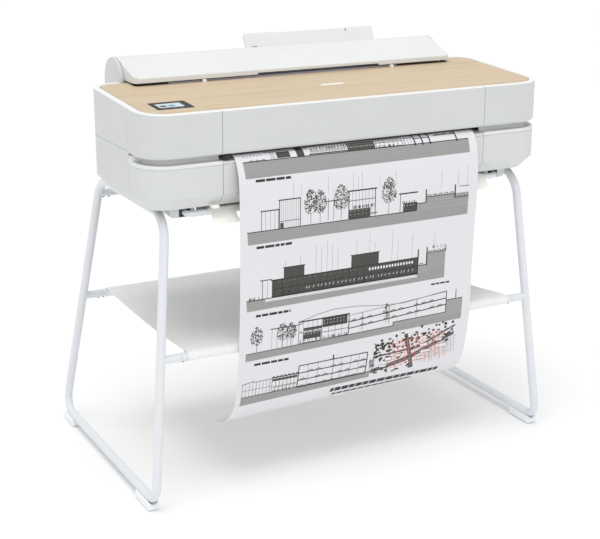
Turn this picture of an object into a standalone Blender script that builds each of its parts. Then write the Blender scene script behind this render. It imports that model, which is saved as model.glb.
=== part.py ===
"""Large format plotter on a tube stand, built as separate named pieces.

Units are metres, +Z is up, the front of the machine faces -Y.
Y values below are measured in machine coordinates, where the front face is at
FRONT; SHIFT_Y then centres the whole machine over the origin.
"""
import math

import bmesh
import bpy
from mathutils import Matrix, Vector

# ---------------------------------------------------------------- dimensions
SHIFT_Y = -0.08044         # moves the finished machine so its box is centred

HALF_W = 0.5065            # half the width of the printer body
FRONT = -0.200             # front face of the body
REAR = 0.138               # rear of the upper body and of its rim
R_FRONT = 0.068            # plan radius of the front corners
R_REAR = 0.048             # plan radius of the rear corners
SEAM_X = 0.332             # vertical seams left and right of the front cover
SEAM_Y = -0.105            # seam between corner cover and side panel
GAP = 0.0004               # clearance between neighbouring pieces
WALL = 0.003               # thickness of the moulded covers

TOP_FRONT = 0.8715         # height of the top surface at the front face
TOP_SLOPE = 0.055          # rise of the top surface per metre towards the rear
UPPER_BOTTOM = 0.777       # lowest edge of the upper covers
GROOVE_Z = 0.7843          # thin groove along the side panels
LIP_TOP = 0.7655           # top of the lower housing's lip
PARTING_Z = 0.7572         # parting line under the lip
CHAMFER_Z = 0.693          # where the lower housing starts to taper in
BOTTOM_Z = 0.665           # underside of the body
CHAMFER_IN = 0.027         # how far the underside is set in
RIM_W = 0.0142             # width of the white rim around the wood panel

ROLL_Y = 0.192             # axis of the paper roll and of the roll cover
ROLL_Z = 0.883
COVER_R = 0.0555           # outer radius of the roll cover
COVER_X = 0.4187           # half length of the roll cover
LIP_Y = 0.0735             # front edge of the roll cover
ROLL_R = 0.045             # radius of the paper roll
PAPER_X = 0.305            # half the paper width
PAPER_T = 0.0003           # thickness of the modelled paper web

TUBE_R = 0.010             # stand tube outer radius
TUBE_BORE = 0.0085         # stand tube inner radius
RAIL_Z = 0.024             # height of the floor rail's axis
LEG_TOP_Z = 0.652          # height of the loop's top bar axis
LEG_X_BOTTOM = 0.514       # loop's axis at the floor rail
LEG_X_TOP = 0.4527         # loop's axis at the top bar
BAR_R = 0.0092             # cross bars
BAR_END = 0.4367           # seam between stub and cross bar
LOW_BAR_Z = 0.342
HIGH_BAR_Z = 0.614
FRONT_RAIL = (-0.165, 0.650)   # y, z of the front rail's axis
FRONT_RAIL_R = 0.0068

PLATEN_Z = 0.770
ROD_Y, ROD_Z, ROD_R = -0.060, 0.830, 0.008
FEED_Y, FEED_R = -0.010, 0.012
PINCH_R = 0.006
CAR_X, CAR_HALF, HEAD_HALF = 0.372, 0.055, 0.030   # carriage parked at the right
BELT_X, BELT_Z, BELT_R, BELT_T = 0.440, 0.832, 0.010, 0.0012
BELT_Y = (-0.0350, -0.0270)
TANK_X, TANK_PITCH, TANK_W = 0.352, 0.0262, 0.0240  # ink cartridges behind the door

SCREEN_X = (-0.4535, -0.3705)    # touchscreen frame, plan
SCREEN_Y = (-0.1495, -0.0845)
DISPLAY_X = (-0.4425, -0.3865)   # lit display inside it
DISPLAY_Y = (-0.1330, -0.0980)

FLAT_UP = LIP_Y + 0.002    # where the roll cover's flat top begins
LIP_TOP_Z = 0.9055
LIP_BOTTOM_Z = 0.8930
GRIP_X = (-0.115, 0.210)   # finger recess under the lip
LIP_CORNER_R = 0.016       # plan radius of the lip's two corners
COVER_END = 18             # rear end of the shell, degrees above the horizontal
HUB_END = -60              # rear end of the end caps' hub circle
HUB_X = 0.3985             # inner face of the end caps' hubs
SPINDLE_END = 0.4100
JOURNAL_R = 0.0100         # spindle in the hubs
SHAFT_R = 0.0150
FLANGE_R = 0.0400          # flanges beside the paper roll
CORE_R = 0.0245            # spindle inside the paper roll

REAR_X = 0.430             # rear housing
REAR_FRONT, REAR_BACK = 0.1395, 0.2525
REAR_LOW, REAR_TOP = 0.700, 0.828
REAR_WALL_X = 0.3965       # thin wall behind the paper roll
REAR_WALL_TOP = 0.896
TRAY_X = (-0.0453, 0.3223)   # leaning sheet tray
TRAY_TOP = 0.0810          # its top, measured up the tray
EXT_TOP = 0.0797           # top of the pushed-in extension
NOTCH_X, NOTCH_DEPTH = (0.2411, 0.2441), 0.0100
TRAY_Y, TRAY_Z = 0.2610, 0.8860
TRAY_LEAN = math.radians(27)
LEDGE_MARGIN = 0.006       # ledge under the tray
LEDGE_DEPTH = 0.020
LEDGE_LOW, LEDGE_TOP = 0.8620, 0.8745
SLOT_X = (-0.012, 0.298)   # sheet slot in the rear wall
SLOT_Z = (0.8785, 0.8845)
INLET_X = (-0.372, -0.340)
INLET_Z = (0.728, 0.752)
BUTTON_X, BUTTON_Z, BUTTON_R = -0.320, 0.740, 0.0060

FRONT_LEG_Y = -0.166655    # front leg's axis at the top bar, and its lean
FRONT_LEG_SLOPE = 0.0869
REAR_LEG_Y = 0.228462      # rear leg's axis at the top bar, and its lean
REAR_LEG_SLOPE = -0.258
LOOP_SEAM_Y = 0.06         # where the loop's two tube ends meet
LOOP_BENDS = (0.060, 0.034, 0.040, 0.060)
FOOT_X = (0.5015, 0.5278)
FOOT_FRONT_Y = (-0.2076, -0.1270)
FOOT_REAR_Y = (0.3050, 0.3780)
FOOT_TOP = 0.0205           # top of the walls on both sides of the rail
SADDLE_R = 0.0106           # groove in the foot that the rail lies in
SCREW_X, SCREW_R, SCREW_HEIGHT = 0.4310, 0.0028, 0.0026
HEM_X, HEM_R = 0.4225, 0.0125
FABRIC_RISE, FABRIC_T = 0.0095, 0.0024   # cloth above the bars' axes, its thickness

BRACKET_X = (0.3760, 0.4385)
BRACKET_Y = (-0.1480, -0.0700)
BRACKET_LOW = 0.6395
RAIL_END_X, RAIL_END_Y, RAIL_BEND = 0.400, -0.1300, 0.016
SOCKET_HALF_X, SOCKET_HALF_Z = 0.0126, 0.0086
SOCKET_Y = (-0.1500, -0.1244)
FLAP_X = 0.3620
FLAP_TIP = (-0.2045, 0.6318)
CLIP_MOUTH = -60           # angle of the flap clip's mouth

# ---------------------------------------------------------------- clean start
for old in list(bpy.data.objects):
    bpy.data.objects.remove(old, do_unlink=True)


# ---------------------------------------------------------------- materials
def material(name, rgb, rough, metal=0.0):
    mat = bpy.data.materials.new(name)
    mat.use_nodes = True
    shader = mat.node_tree.nodes["Principled BSDF"]
    shader.inputs["Base Color"].default_value = (rgb[0], rgb[1], rgb[2], 1.0)
    shader.inputs["Roughness"].default_value = rough
    shader.inputs["Metallic"].default_value = metal
    mat.diffuse_color = (rgb[0], rgb[1], rgb[2], 1.0)
    return mat


PALETTE = {
    "cover_white": ((0.72, 0.73, 0.72), 0.45, 0.0),
    "lower_white": ((0.68, 0.69, 0.68), 0.60, 0.0),
    "wood": ((0.72, 0.58, 0.40), 0.50, 0.0),
    "tube_white": ((0.74, 0.78, 0.82), 0.35, 0.3),
    "cream": ((0.86, 0.85, 0.78), 0.55, 0.0),
    "fabric_grey": ((0.66, 0.66, 0.64), 0.90, 0.0),
    "paper": ((0.88, 0.88, 0.90), 0.80, 0.0),
    "black_plastic": ((0.03, 0.03, 0.035), 0.45, 0.0),
    "dark_plastic": ((0.10, 0.10, 0.12), 0.55, 0.0),
    "screen": ((0.10, 0.16, 0.22), 0.15, 0.0),
    "steel": ((0.55, 0.56, 0.58), 0.35, 1.0),
    "sheet_steel": ((0.45, 0.46, 0.47), 0.50, 1.0),
    "rubber": ((0.04, 0.04, 0.04), 0.85, 0.0),
    "ink_black": ((0.03, 0.03, 0.03), 0.5, 0.0),
    "ink_cyan": ((0.02, 0.45, 0.70), 0.5, 0.0),
    "ink_magenta": ((0.65, 0.05, 0.30), 0.5, 0.0),
    "ink_yellow": ((0.85, 0.70, 0.05), 0.5, 0.0),
}


# ---------------------------------------------------------------- mesh helpers
def make(name, verts, faces, slot):
    """One closed body with outward normals, shifted into world coordinates."""
    mesh = bpy.data.meshes.new(name)
    mesh.from_pydata([(v[0], v[1] + SHIFT_Y, v[2]) for v in verts], [], faces)
    bm = bmesh.new()
    bm.from_mesh(mesh)
    bmesh.ops.recalc_face_normals(bm, faces=bm.faces)
    bm.to_mesh(mesh)
    bm.free()
    obj = bpy.data.objects.new(name, mesh)
    bpy.context.scene.collection.objects.link(obj)
    colour, rough, metal = PALETTE[slot]
    mesh.materials.append(material(name, colour, rough, metal))
    return obj


def loft(name, rings, slot, closed=False):
    """Skin a row of equal rings; ends are capped unless the row closes."""
    n = len(rings[0])
    verts = [p for ring in rings for p in ring]
    faces = []
    last = len(rings) if closed else len(rings) - 1
    for i in range(last):
        j = (i + 1) % len(rings)
        for k in range(n):
            m = (k + 1) % n
            faces.append((i * n + k, i * n + m, j * n + m, j * n + k))
    if not closed:
        faces.append(tuple(range(n)))
        base = (len(rings) - 1) * n
        faces.append(tuple(base + k for k in range(n)))
    return make(name, verts, faces, slot)


def prism_x(name, outline, x0, x1, slot):
    """Outline in (y, z), extruded along X."""
    rings = [[(x, y, z) for y, z in outline] for x in (x0, x1)]
    return loft(name, rings, slot)


def prism_z(name, outline, z0, z1, slot):
    """Outline in (x, y), extruded along Z; z0 and z1 may be functions of y."""
    low = z0 if callable(z0) else (lambda y: z0)
    high = z1 if callable(z1) else (lambda y: z1)
    rings = [[(x, y, low(y)) for x, y in outline], [(x, y, high(y)) for x, y in outline]]
    return loft(name, rings, slot)


def box(name, low, high, slot, bevel=0.0, segments=2):
    x0, y0, z0 = low
    x1, y1, z1 = high
    obj = prism_z(name, [(x0, y0), (x1, y0), (x1, y1), (x0, y1)], z0, z1, slot)
    if bevel > 0:
        round_edges(obj, bevel, segments)
    return obj


def round_edges(obj, width, segments=2, angle=40):
    mod = obj.modifiers.new("bevel", "BEVEL")
    mod.width = width
    mod.segments = segments
    mod.limit_method = "ANGLE"
    mod.angle_limit = math.radians(angle)
    bake(obj)


def bake(obj):
    """Apply every modifier of an object."""
    graph = bpy.context.evaluated_depsgraph_get()
    mesh = bpy.data.meshes.new_from_object(obj.evaluated_get(graph))
    obj.modifiers.clear()
    old = obj.data
    obj.data = mesh
    mesh.name = obj.name
    bpy.data.meshes.remove(old)


def combine(obj, other, operation):
    """Boolean with another object, which is used up."""
    mod = obj.modifiers.new("boolean", "BOOLEAN")
    mod.operation = operation
    mod.solver = "EXACT"
    mod.object = other
    bake(obj)
    bpy.data.objects.remove(other, do_unlink=True)
    bm = bmesh.new()
    bm.from_mesh(obj.data)
    bmesh.ops.remove_doubles(bm, verts=bm.verts, dist=0.00001)
    bmesh.ops.recalc_face_normals(bm, faces=bm.faces)
    bm.to_mesh(obj.data)
    bm.free()
    keep = obj.data.materials[0]
    obj.data.materials.clear()
    obj.data.materials.append(keep)
    return obj


def cut(obj, other):
    return combine(obj, other, "DIFFERENCE")


def join(obj, other):
    return combine(obj, other, "UNION")


def pivot(obj, x, y, z):
    """Put the object's origin on its joint axis, in machine coordinates."""
    point = Vector((x, y + SHIFT_Y, z))
    obj.data.transform(Matrix.Translation(-point))
    obj.location = point


def arc(cy, cz, r, a0, a1, steps):
    """Points on a circle in (y, z); angles in degrees from +Y."""
    out = []
    for i in range(steps + 1):
        a = math.radians(a0 + (a1 - a0) * i / steps)
        out.append((cy + r * math.cos(a), cz + r * math.sin(a)))
    return out


def lathe_x(name, profile, cy, cz, slot, segments=32):
    """Solid turned about a line along X; profile is a list of (x, radius)."""
    verts = []
    faces = []
    n = segments
    for x, r in profile:
        for k in range(n):
            a = 2 * math.pi * (k + 0.5) / n
            verts.append((x, cy + r * math.cos(a), cz + r * math.sin(a)))
    for i in range(len(profile) - 1):
        for k in range(n):
            m = (k + 1) % n
            faces.append((i * n + k, i * n + m, (i + 1) * n + m, (i + 1) * n + k))
    base = (len(profile) - 1) * n
    faces.append(tuple(range(n)))
    faces.append(tuple(base + k for k in range(n)))
    return make(name, verts, faces, slot)


def ring_x(name, profile, cy, cz, slot, segments=32):
    """Turned body with a hole: profile is a closed loop of (x, radius)."""
    rings = []
    for k in range(segments):
        a = 2 * math.pi * (k + 0.5) / segments
        rings.append([(x, cy + r * math.cos(a), cz + r * math.sin(a)) for x, r in profile])
    return loft(name, rings, slot, closed=True)


def rounded_path(points, radii, steps=6):
    """Polyline through points with arcs of the given radii at inner points."""
    pts = [Vector(p) for p in points]
    path = [pts[0]]
    for i in range(1, len(pts) - 1):
        to_a = (pts[i - 1] - pts[i]).normalized()
        to_b = (pts[i + 1] - pts[i]).normalized()
        half = to_a.angle(to_b) / 2
        reach = radii[i - 1] / math.tan(half)
        centre = pts[i] + (to_a + to_b).normalized() * (radii[i - 1] / math.sin(half))
        start = pts[i] + to_a * reach - centre
        end = pts[i] + to_b * reach - centre
        total = start.angle(end)
        axis = start.cross(end).normalized()
        for k in range(steps + 1):
            path.append(centre + Matrix.Rotation(total * k / steps, 3, axis) @ start)
    path.append(pts[-1])
    return path


def tube(name, path, normal, slot, r_out, r_in, segments=12):
    """Open-ended round tube along a flat path; r_in 0 makes a solid rod."""
    side = Vector(normal).normalized()
    outer = []
    inner = []
    for i, p in enumerate(path):
        a = path[max(i - 1, 0)]
        b = path[min(i + 1, len(path) - 1)]
        along = (b - a).normalized()
        if 0 < i < len(path) - 1:
            along = ((p - a).normalized() + (b - p).normalized()).normalized()
        up = side.cross(along).normalized()
        for ring, r in ((outer, r_out), (inner, r_in)):
            row = []
            for k in range(segments):
                t = 2 * math.pi * k / segments
                row.append(p + side * (r * math.cos(t)) + up * (r * math.sin(t)))
            ring.append(row)
    if r_in <= 0:
        return loft(name, outer, slot)
    rings = outer + inner[::-1]
    return loft(name, rings, slot, closed=True)


# ---------------------------------------------------------------- body outline
def top_z(y):
    return TOP_FRONT + TOP_SLOPE * (y - FRONT)


def corner(cx, cy, r, a0, a1, steps):
    """Stations (x, y, nx, ny) along a plan corner; angles in degrees from +X."""
    out = []
    for i in range(steps + 1):
        a = math.radians(a0 + (a1 - a0) * i / steps)
        c, s = math.cos(a), math.sin(a)
        out.append((cx + r * c, cy + r * s, c, s))
    return out


def front_corner_stations(sign):
    """From the front seam round the front corner to the side seam."""
    rows = [(-SEAM_X - GAP / 2, FRONT, 0.0, -1.0)]
    rows += corner(-HALF_W + R_FRONT, FRONT + R_FRONT, R_FRONT, 270, 180, 9)
    rows.append((-HALF_W, SEAM_Y - GAP / 2, -1.0, 0.0))
    return [(-sign * x, y, -sign * nx, ny) for x, y, nx, ny in rows]


def side_stations(sign):
    """From the side seam to the rear corner and a little way along the rear."""
    rows = [(-HALF_W, SEAM_Y + GAP / 2, -1.0, 0.0)]
    rows += corner(-HALF_W + R_REAR, REAR - R_REAR, R_REAR, 180, 90, 8)
    rows.append((-0.434, REAR, 0.0, 1.0))
    return [(-sign * x, y, -sign * nx, ny) for x, y, nx, ny in rows]


def centre_stations():
    return [(-SEAM_X + GAP / 2, FRONT, 0.0, -1.0), (SEAM_X - GAP / 2, FRONT, 0.0, -1.0)]


def band(name, stations, profile, slot):
    """Sweep a closed (inset, z) profile along plan stations.

    A z given as ("top", dz) follows the sloping top surface.
    """
    rings = []
    for x, y, nx, ny in stations:
        ring = []
        for inset, z in profile:
            px = x - nx * inset
            py = y - ny * inset
            pz = top_z(py) + z[1] if isinstance(z, tuple) else z
            ring.append((px, py, pz))
        rings.append(ring)
    return loft(name, rings, slot)


RIM = [
    (0.0, ("top", -0.0027)),
    (0.0008, ("top", -0.0008)),
    (0.0027, ("top", 0.0)),
    (RIM_W, ("top", 0.0)),
    (RIM_W, ("top", -0.003)),
    (WALL, ("top", -0.003)),
]
UPPER_EDGE = [
    (0.0115, UPPER_BOTTOM + 0.0028),
    (0.0100, UPPER_BOTTOM),
    (0.0035, UPPER_BOTTOM + 0.0027),
    (0.0008, UPPER_BOTTOM + 0.0058),
    (0.0, UPPER_BOTTOM + 0.0090),
]
UPPER_PROFILE = UPPER_EDGE + RIM + [(WALL, UPPER_BOTTOM + 0.0105)]
LOWER_FOOT = [
    (CHAMFER_IN + 0.004, BOTTOM_Z + 0.0012),
    (CHAMFER_IN + 0.004, BOTTOM_Z),
    (CHAMFER_IN, BOTTOM_Z),
    (0.0016, CHAMFER_Z - 0.0026),
    (0.0, CHAMFER_Z + 0.0008),
]
LOWER_PROFILE = LOWER_FOOT + [
    (0.0, PARTING_Z - 0.0012),
    (0.0006, PARTING_Z - 0.0004),
    (WALL, PARTING_Z - 0.0004),
    (WALL, CHAMFER_Z + 0.0016),
]
SIDE_PROFILE = LOWER_FOOT + [
    (0.0, GROOVE_Z - 0.0010),
    (0.0011, GROOVE_Z - 0.0005),
    (0.0011, GROOVE_Z + 0.0005),
    (0.0, GROOVE_Z + 0.0010),
] + RIM + [(WALL, CHAMFER_Z + 0.0016)]
WAIST_PROFILE = [
    (WALL, PARTING_Z),
    (0.0006, PARTING_Z),
    (0.0, PARTING_Z + 0.0008),
    (0.0, LIP_TOP - 0.0042),
    (0.0013, LIP_TOP - 0.0013),
    (0.0048, LIP_TOP),
    (0.0190, LIP_TOP - 0.0015),
    (0.0205, LIP_TOP),
    (0.0205, UPPER_BOTTOM - 0.0005),
    (0.0235, UPPER_BOTTOM - 0.0005),
    (0.0235, LIP_TOP - 0.0045),
    (WALL, LIP_TOP - 0.0045),
]
# the same points where the recess has run out, next to the side panel
WAIST_CLOSED = WAIST_PROFILE[:4] + [
    (0.0001, LIP_TOP - 0.0010),
    (0.0002, LIP_TOP + 0.0020),
    (0.0004, LIP_TOP + 0.0050),
    (0.0006, LIP_TOP + 0.0080),
    (0.0010, UPPER_BOTTOM - 0.0005),
    (0.0040, UPPER_BOTTOM - 0.0005),
    (0.0040, LIP_TOP - 0.0045),
    (WALL, LIP_TOP - 0.0045),
]
OUTPUT_LIP_PROFILE = [
    (WALL, PARTING_Z),
    (0.0006, PARTING_Z),
    (0.0, PARTING_Z + 0.0008),
    (0.0, PARTING_Z + 0.0030),
    (0.0018, PARTING_Z + 0.0054),
    (0.0055, PARTING_Z + 0.0066),
    (0.0420, PARTING_Z + 0.0096),
    (0.0420, PARTING_Z + 0.0066),
    (WALL + 0.004, PARTING_Z + 0.0036),
]



def waist(name, stations):
    """Lip and recess round a front corner; the recess runs out at the last station."""
    seam = stations[-1]
    bend = stations[-2]
    rows = [(*row, 1.0) for row in stations[:-1]]
    for k in range(1, 6):
        share = k / 5
        y = bend[1] + (seam[1] - bend[1]) * share
        rows.append((seam[0], y, seam[2], seam[3], 0.5 + 0.5 * math.cos(math.pi * share)))
    rings = []
    for x, y, nx, ny, depth in rows:
        ring = []
        for (i0, z0), (i1, z1) in zip(WAIST_CLOSED, WAIST_PROFILE):
            inset = i0 + (i1 - i0) * depth
            ring.append((x - nx * inset, y - ny * inset, z0 + (z1 - z0) * depth))
        rings.append(ring)
    return loft(name, rings, "cover_white")


# ---------------------------------------------------------------- body covers
for side, sign in (("left", -1), ("right", 1)):
    front = front_corner_stations(sign)
    band("upper_" + side + "_corner", front, UPPER_PROFILE, "cover_white")
    waist(side + "_waist", front)
    band(side + "_side_panel", side_stations(sign), SIDE_PROFILE, "cover_white")

band("lower_left_corner", front_corner_stations(-1), LOWER_PROFILE, "lower_white")
ink_door = band("ink_door", front_corner_stations(1), LOWER_PROFILE, "lower_white")
pivot(ink_door, HALF_W, SEAM_Y - GAP / 2, 0.711)

band("lower_centre_panel", centre_stations(), LOWER_PROFILE, "lower_white")
band("output_lip", centre_stations(), OUTPUT_LIP_PROFILE, "cover_white")
front_cover = band("front_cover", centre_stations(), UPPER_PROFILE, "cover_white")
COVER_HINGE_Y = FRONT + RIM_W
pivot(front_cover, 0.0, COVER_HINGE_Y, top_z(COVER_HINGE_Y))


def inset_outline(inset, notch_y, notch_x):
    """Plan outline of the top, inset from the rim, notched for the roll cover."""
    half = HALF_W - inset
    rows = corner(half - R_FRONT + inset, FRONT + R_FRONT, R_FRONT - inset, 270, 360, 8)
    rows += corner(half - R_REAR + inset, REAR - R_REAR, R_REAR - inset, 0, 90, 7)
    right = [(x, y) for x, y, nx, ny in rows]
    right += [(notch_x, REAR - inset), (notch_x, notch_y)]
    left = [(-x, y) for x, y in reversed(right)]
    return right + left


wood = prism_z(
    "wood_top",
    inset_outline(RIM_W + GAP, LIP_Y + 0.008, COVER_X - 0.004),
    lambda y: top_z(y) - 0.004,
    lambda y: top_z(y),
    "wood",
)


def slab(name, xs, ys, z_low, z_high, slot, grow=0.0, radius=0.0):
    """Rounded plate lying in the sloping top surface."""
    x0, x1 = xs[0] - grow, xs[1] + grow
    y0, y1 = ys[0] - grow, ys[1] + grow
    r = max(radius + grow, 0.0004)
    pts = []
    for cx, cy, a in ((x1 - r, y0 + r, 270), (x1 - r, y1 - r, 0), (x0 + r, y1 - r, 90), (x0 + r, y0 + r, 180)):
        pts += [(x, y) for x, y, nx, ny in corner(cx, cy, r, a, a + 90, 4)]
    return prism_z(name, pts, lambda y: top_z(y) + z_low, lambda y: top_z(y) + z_high, slot)


cut(wood, slab("screen_hole", SCREEN_X, SCREEN_Y, -0.02, 0.02, "wood", GAP, 0.003))
bezel = slab("touchscreen_bezel", SCREEN_X, SCREEN_Y, -0.0035, 0.0002, "black_plastic", 0.0, 0.003)
cut(bezel, slab("display_hole", DISPLAY_X, DISPLAY_Y, -0.0016, 0.02, "screen", 0.0003, 0.001))
slab("touchscreen_display", DISPLAY_X, DISPLAY_Y, -0.0012, 0.0000, "screen", 0.0, 0.001)

# ---------------------------------------------------------------- lower body
pan = [
    (HALF_W - CHAMFER_IN - 0.006 - 0.04, FRONT + CHAMFER_IN + 0.006),
    (HALF_W - CHAMFER_IN - 0.006, FRONT + CHAMFER_IN + 0.046),
    (HALF_W - CHAMFER_IN - 0.006, REAR - CHAMFER_IN - 0.022),
    (HALF_W - CHAMFER_IN - 0.022, REAR - CHAMFER_IN - 0.006),
]
pan += [(-x, y) for x, y in reversed(pan)]
prism_z("bottom_pan", pan, BOTTOM_Z, BOTTOM_Z + 0.003, "sheet_steel")

# folded chassis: two side plates joined by a low rear beam
chassis = box("chassis", (-0.4560, 0.0955, 0.6700), (0.4560, 0.0980, 0.790), "sheet_steel")
for sign in (-1, 1):
    x0, x1 = sorted((sign * 0.4560, sign * 0.4535))
    join(chassis, box("chassis_side", (x0, -0.120, 0.6700), (x1, 0.0970, 0.855), "sheet_steel"))

inside = REAR_X - WALL
rear_high = (REAR_X, REAR_BACK, REAR_TOP)
rear = box("rear_housing", (-REAR_X, REAR_FRONT, REAR_LOW), rear_high, "lower_white", 0.006, 3)
hollow_low = (-inside, REAR_FRONT - 0.04, REAR_LOW + 0.0035)
cut(rear, box("rear_hollow", hollow_low, (inside, REAR_BACK - WALL, REAR_TOP - 0.0035), "lower_white"))
wall_low = (-REAR_WALL_X, REAR_BACK - WALL, REAR_TOP - 0.0018)
join(rear, box("rear_wall", wall_low, (REAR_WALL_X, REAR_BACK, REAR_WALL_TOP), "lower_white"))
ledge_low = (TRAY_X[0] - LEDGE_MARGIN, REAR_BACK - 0.001, LEDGE_LOW)
ledge_high = (TRAY_X[1] + LEDGE_MARGIN, REAR_BACK + LEDGE_DEPTH, LEDGE_TOP)
join(rear, box("tray_ledge", ledge_low, ledge_high, "lower_white"))
slot_low = (SLOT_X[0], REAR_BACK - 0.01, SLOT_Z[0])
cut(rear, box("sheet_inlet", slot_low, (SLOT_X[1], REAR_BACK + 0.001, SLOT_Z[1]), "lower_white"))

# ---------------------------------------------------------------- roll cover
def tangent_angle(y, z, r):
    """Angle on the roll cover's circle where a line from (y, z) touches it."""
    dy, dz = y - ROLL_Y, z - ROLL_Z
    dist = math.hypot(dy, dz)
    return math.degrees(math.atan2(dz, dy)) - math.degrees(math.acos(r / dist))


outer_a = tangent_angle(FLAT_UP, LIP_TOP_Z, COVER_R)
inner_r = COVER_R - WALL
inner_a = tangent_angle(LIP_Y + WALL, LIP_TOP_Z - 0.0032, inner_r)
low_a = 180 - math.degrees(math.asin((LIP_BOTTOM_Z - ROLL_Z) / inner_r))
shell = [(LIP_Y + 0.0008, LIP_BOTTOM_Z), (LIP_Y, LIP_BOTTOM_Z + 0.0012)]
shell += [(LIP_Y, LIP_TOP_Z - 0.003), (LIP_Y + 0.0007, LIP_TOP_Z - 0.001), (FLAT_UP, LIP_TOP_Z)]
shell += arc(ROLL_Y, ROLL_Z, COVER_R, outer_a, COVER_END, 14)
shell += arc(ROLL_Y, ROLL_Z, inner_r, COVER_END, low_a, 18)
hollow = [(LIP_Y + WALL, LIP_BOTTOM_Z - 0.01), (LIP_Y + WALL, LIP_TOP_Z - 0.0032)]
hollow += arc(ROLL_Y, ROLL_Z, inner_r - 0.0003, inner_a, low_a, 6)
hollow.append((ROLL_Y - inner_r + 0.001, LIP_BOTTOM_Z - 0.01))


def round_lip(obj, half, wall):
    """Round the two plan corners of the lip; wall is how far the faces are set in."""
    for sign in (-1, 1):
        r = LIP_CORNER_R - wall
        cx = sign * (half - LIP_CORNER_R)
        cy = LIP_Y + LIP_CORNER_R
        pts = [(x, y) for x, y, nx, ny in corner(cx, cy, r, 270, 270 + 90 * sign, 6)]
        pts += [(sign * (half + 0.01), cy), (sign * (half + 0.01), LIP_Y - 0.01), (cx, LIP_Y - 0.01)]
        cut(obj, prism_z("corner_cut", pts, 0.87, 0.93, "cover_white"))


roll_cover = prism_x("roll_cover", shell, -COVER_X, COVER_X, "cover_white")
round_lip(roll_cover, COVER_X, 0.0)
inside = prism_x("inside", hollow, -COVER_X + WALL, COVER_X - WALL, "cover_white")
round_lip(inside, COVER_X, WALL)
cut(roll_cover, inside)
grip_high = (GRIP_X[1], LIP_Y + 0.012, LIP_BOTTOM_Z + 0.0042)
cut(roll_cover, box("grip", (GRIP_X[0], LIP_Y - 0.0135, LIP_BOTTOM_Z - 0.01), grip_high, "cover_white"))
pivot(roll_cover, 0.0, ROLL_Y, ROLL_Z)

# end caps: the hub's rear follows the circle so that the opening cover can pass
cap_low = REAR_TOP + 0.0006
hub_r = inner_r - 0.0010
for side, sign in (("left", -1), ("right", 1)):
    plate = arc(ROLL_Y, ROLL_Z, COVER_R, 0, 180, 16)
    plate += [(ROLL_Y - COVER_R, cap_low), (ROLL_Y + COVER_R, cap_low)]
    x0, x1 = sorted((sign * (COVER_X + 0.0004), sign * (COVER_X + 0.0080)))
    cap = prism_x(side + "_end_cap", plate, x0, x1, "cover_white")
    hub = arc(ROLL_Y, ROLL_Z, hub_r, HUB_END, 180, 19)
    hub += [(ROLL_Y - hub_r, cap_low), (ROLL_Y + hub_r * math.cos(math.radians(HUB_END)), cap_low)]
    x0, x1 = sorted((sign * HUB_X, sign * (COVER_X + 0.003)))
    join(cap, prism_x("hub", hub, x0, x1, "cover_white"))
    x0, x1 = sorted((sign * (HUB_X - 0.0085), sign * (SPINDLE_END + 0.0005)))
    bore_r = JOURNAL_R + 0.0001
    bore = lathe_x("bore", [(x0, bore_r), (x1, bore_r)], ROLL_Y, ROLL_Z, "cover_white")
    cut(cap, bore)

# ---------------------------------------------------------------- paper and spindle
half_spindle = [
    (SPINDLE_END, JOURNAL_R - 0.0008),
    (SPINDLE_END - 0.0010, JOURNAL_R),
    (HUB_X - 0.0015, JOURNAL_R),
    (HUB_X - 0.0015, SHAFT_R),
    (PAPER_X + 0.0050, SHAFT_R),
    (PAPER_X + 0.0050, FLANGE_R),
    (PAPER_X + 0.0012, FLANGE_R),
    (PAPER_X + 0.0012, CORE_R),
]
spindle_profile = [(-x, r) for x, r in half_spindle] + half_spindle[::-1]
spindle = lathe_x("spindle", spindle_profile, ROLL_Y, ROLL_Z, "black_plastic")
pivot(spindle, 0.0, ROLL_Y, ROLL_Z)
roll_bore = CORE_R + 0.0005
roll_profile = [(-PAPER_X, roll_bore), (-PAPER_X, ROLL_R), (PAPER_X, ROLL_R), (PAPER_X, roll_bore)]
roll = ring_x("paper_roll", roll_profile, ROLL_Y, ROLL_Z, "paper", 40)
pivot(roll, 0.0, ROLL_Y, ROLL_Z)

# web from the roll over the platen, out of the front and down
WEB_R = ROLL_R + 0.0006
BEND_Y, BEND_Z = 0.030, PLATEN_Z + 0.0005
leave = tangent_angle(BEND_Y, BEND_Z, WEB_R) + 360
start_y = ROLL_Y + WEB_R * math.cos(math.radians(leave))
start_z = ROLL_Z + WEB_R * math.sin(math.radians(leave))
HANG = [
    (-0.1750, 0.7705),
    (-0.1900, 0.7686),
    (-0.2000, 0.7632),
    (-0.2075, 0.7530),
    (-0.2135, 0.7380),
    (-0.2178, 0.7200),
    (-0.2208, 0.6950),
    (-0.2222, 0.6600),
    (-0.2225, 0.6200),
    (-0.2205, 0.5400),
    (-0.2165, 0.4600),
    (-0.2110, 0.3800),
    (-0.2040, 0.3100),
    (-0.1945, 0.2500),
    (-0.1830, 0.2120),
    (-0.1640, 0.1780),
    (-0.1400, 0.1530),
    (-0.1120, 0.1360),
]
bend = rounded_path([(0, start_y, start_z), (0, BEND_Y, BEND_Z), (0, -0.1700, BEND_Z)], [0.030], 6)
web = [(p.y, p.z) for p in bend] + HANG


def thicken(line, t):
    """Closed outline of a sheet of thickness t above a (y, z) line."""
    back = []
    for i, (y, z) in enumerate(line):
        a = line[max(i - 1, 0)]
        b = line[min(i + 1, len(line) - 1)]
        dy, dz = b[0] - a[0], b[1] - a[1]
        d = math.hypot(dy, dz)
        back.append((y + dz / d * t, z - dy / d * t))
    return line + back[::-1]


prism_x("printed_sheet", thicken(web, PAPER_T), -PAPER_X, PAPER_X, "paper")

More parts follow.
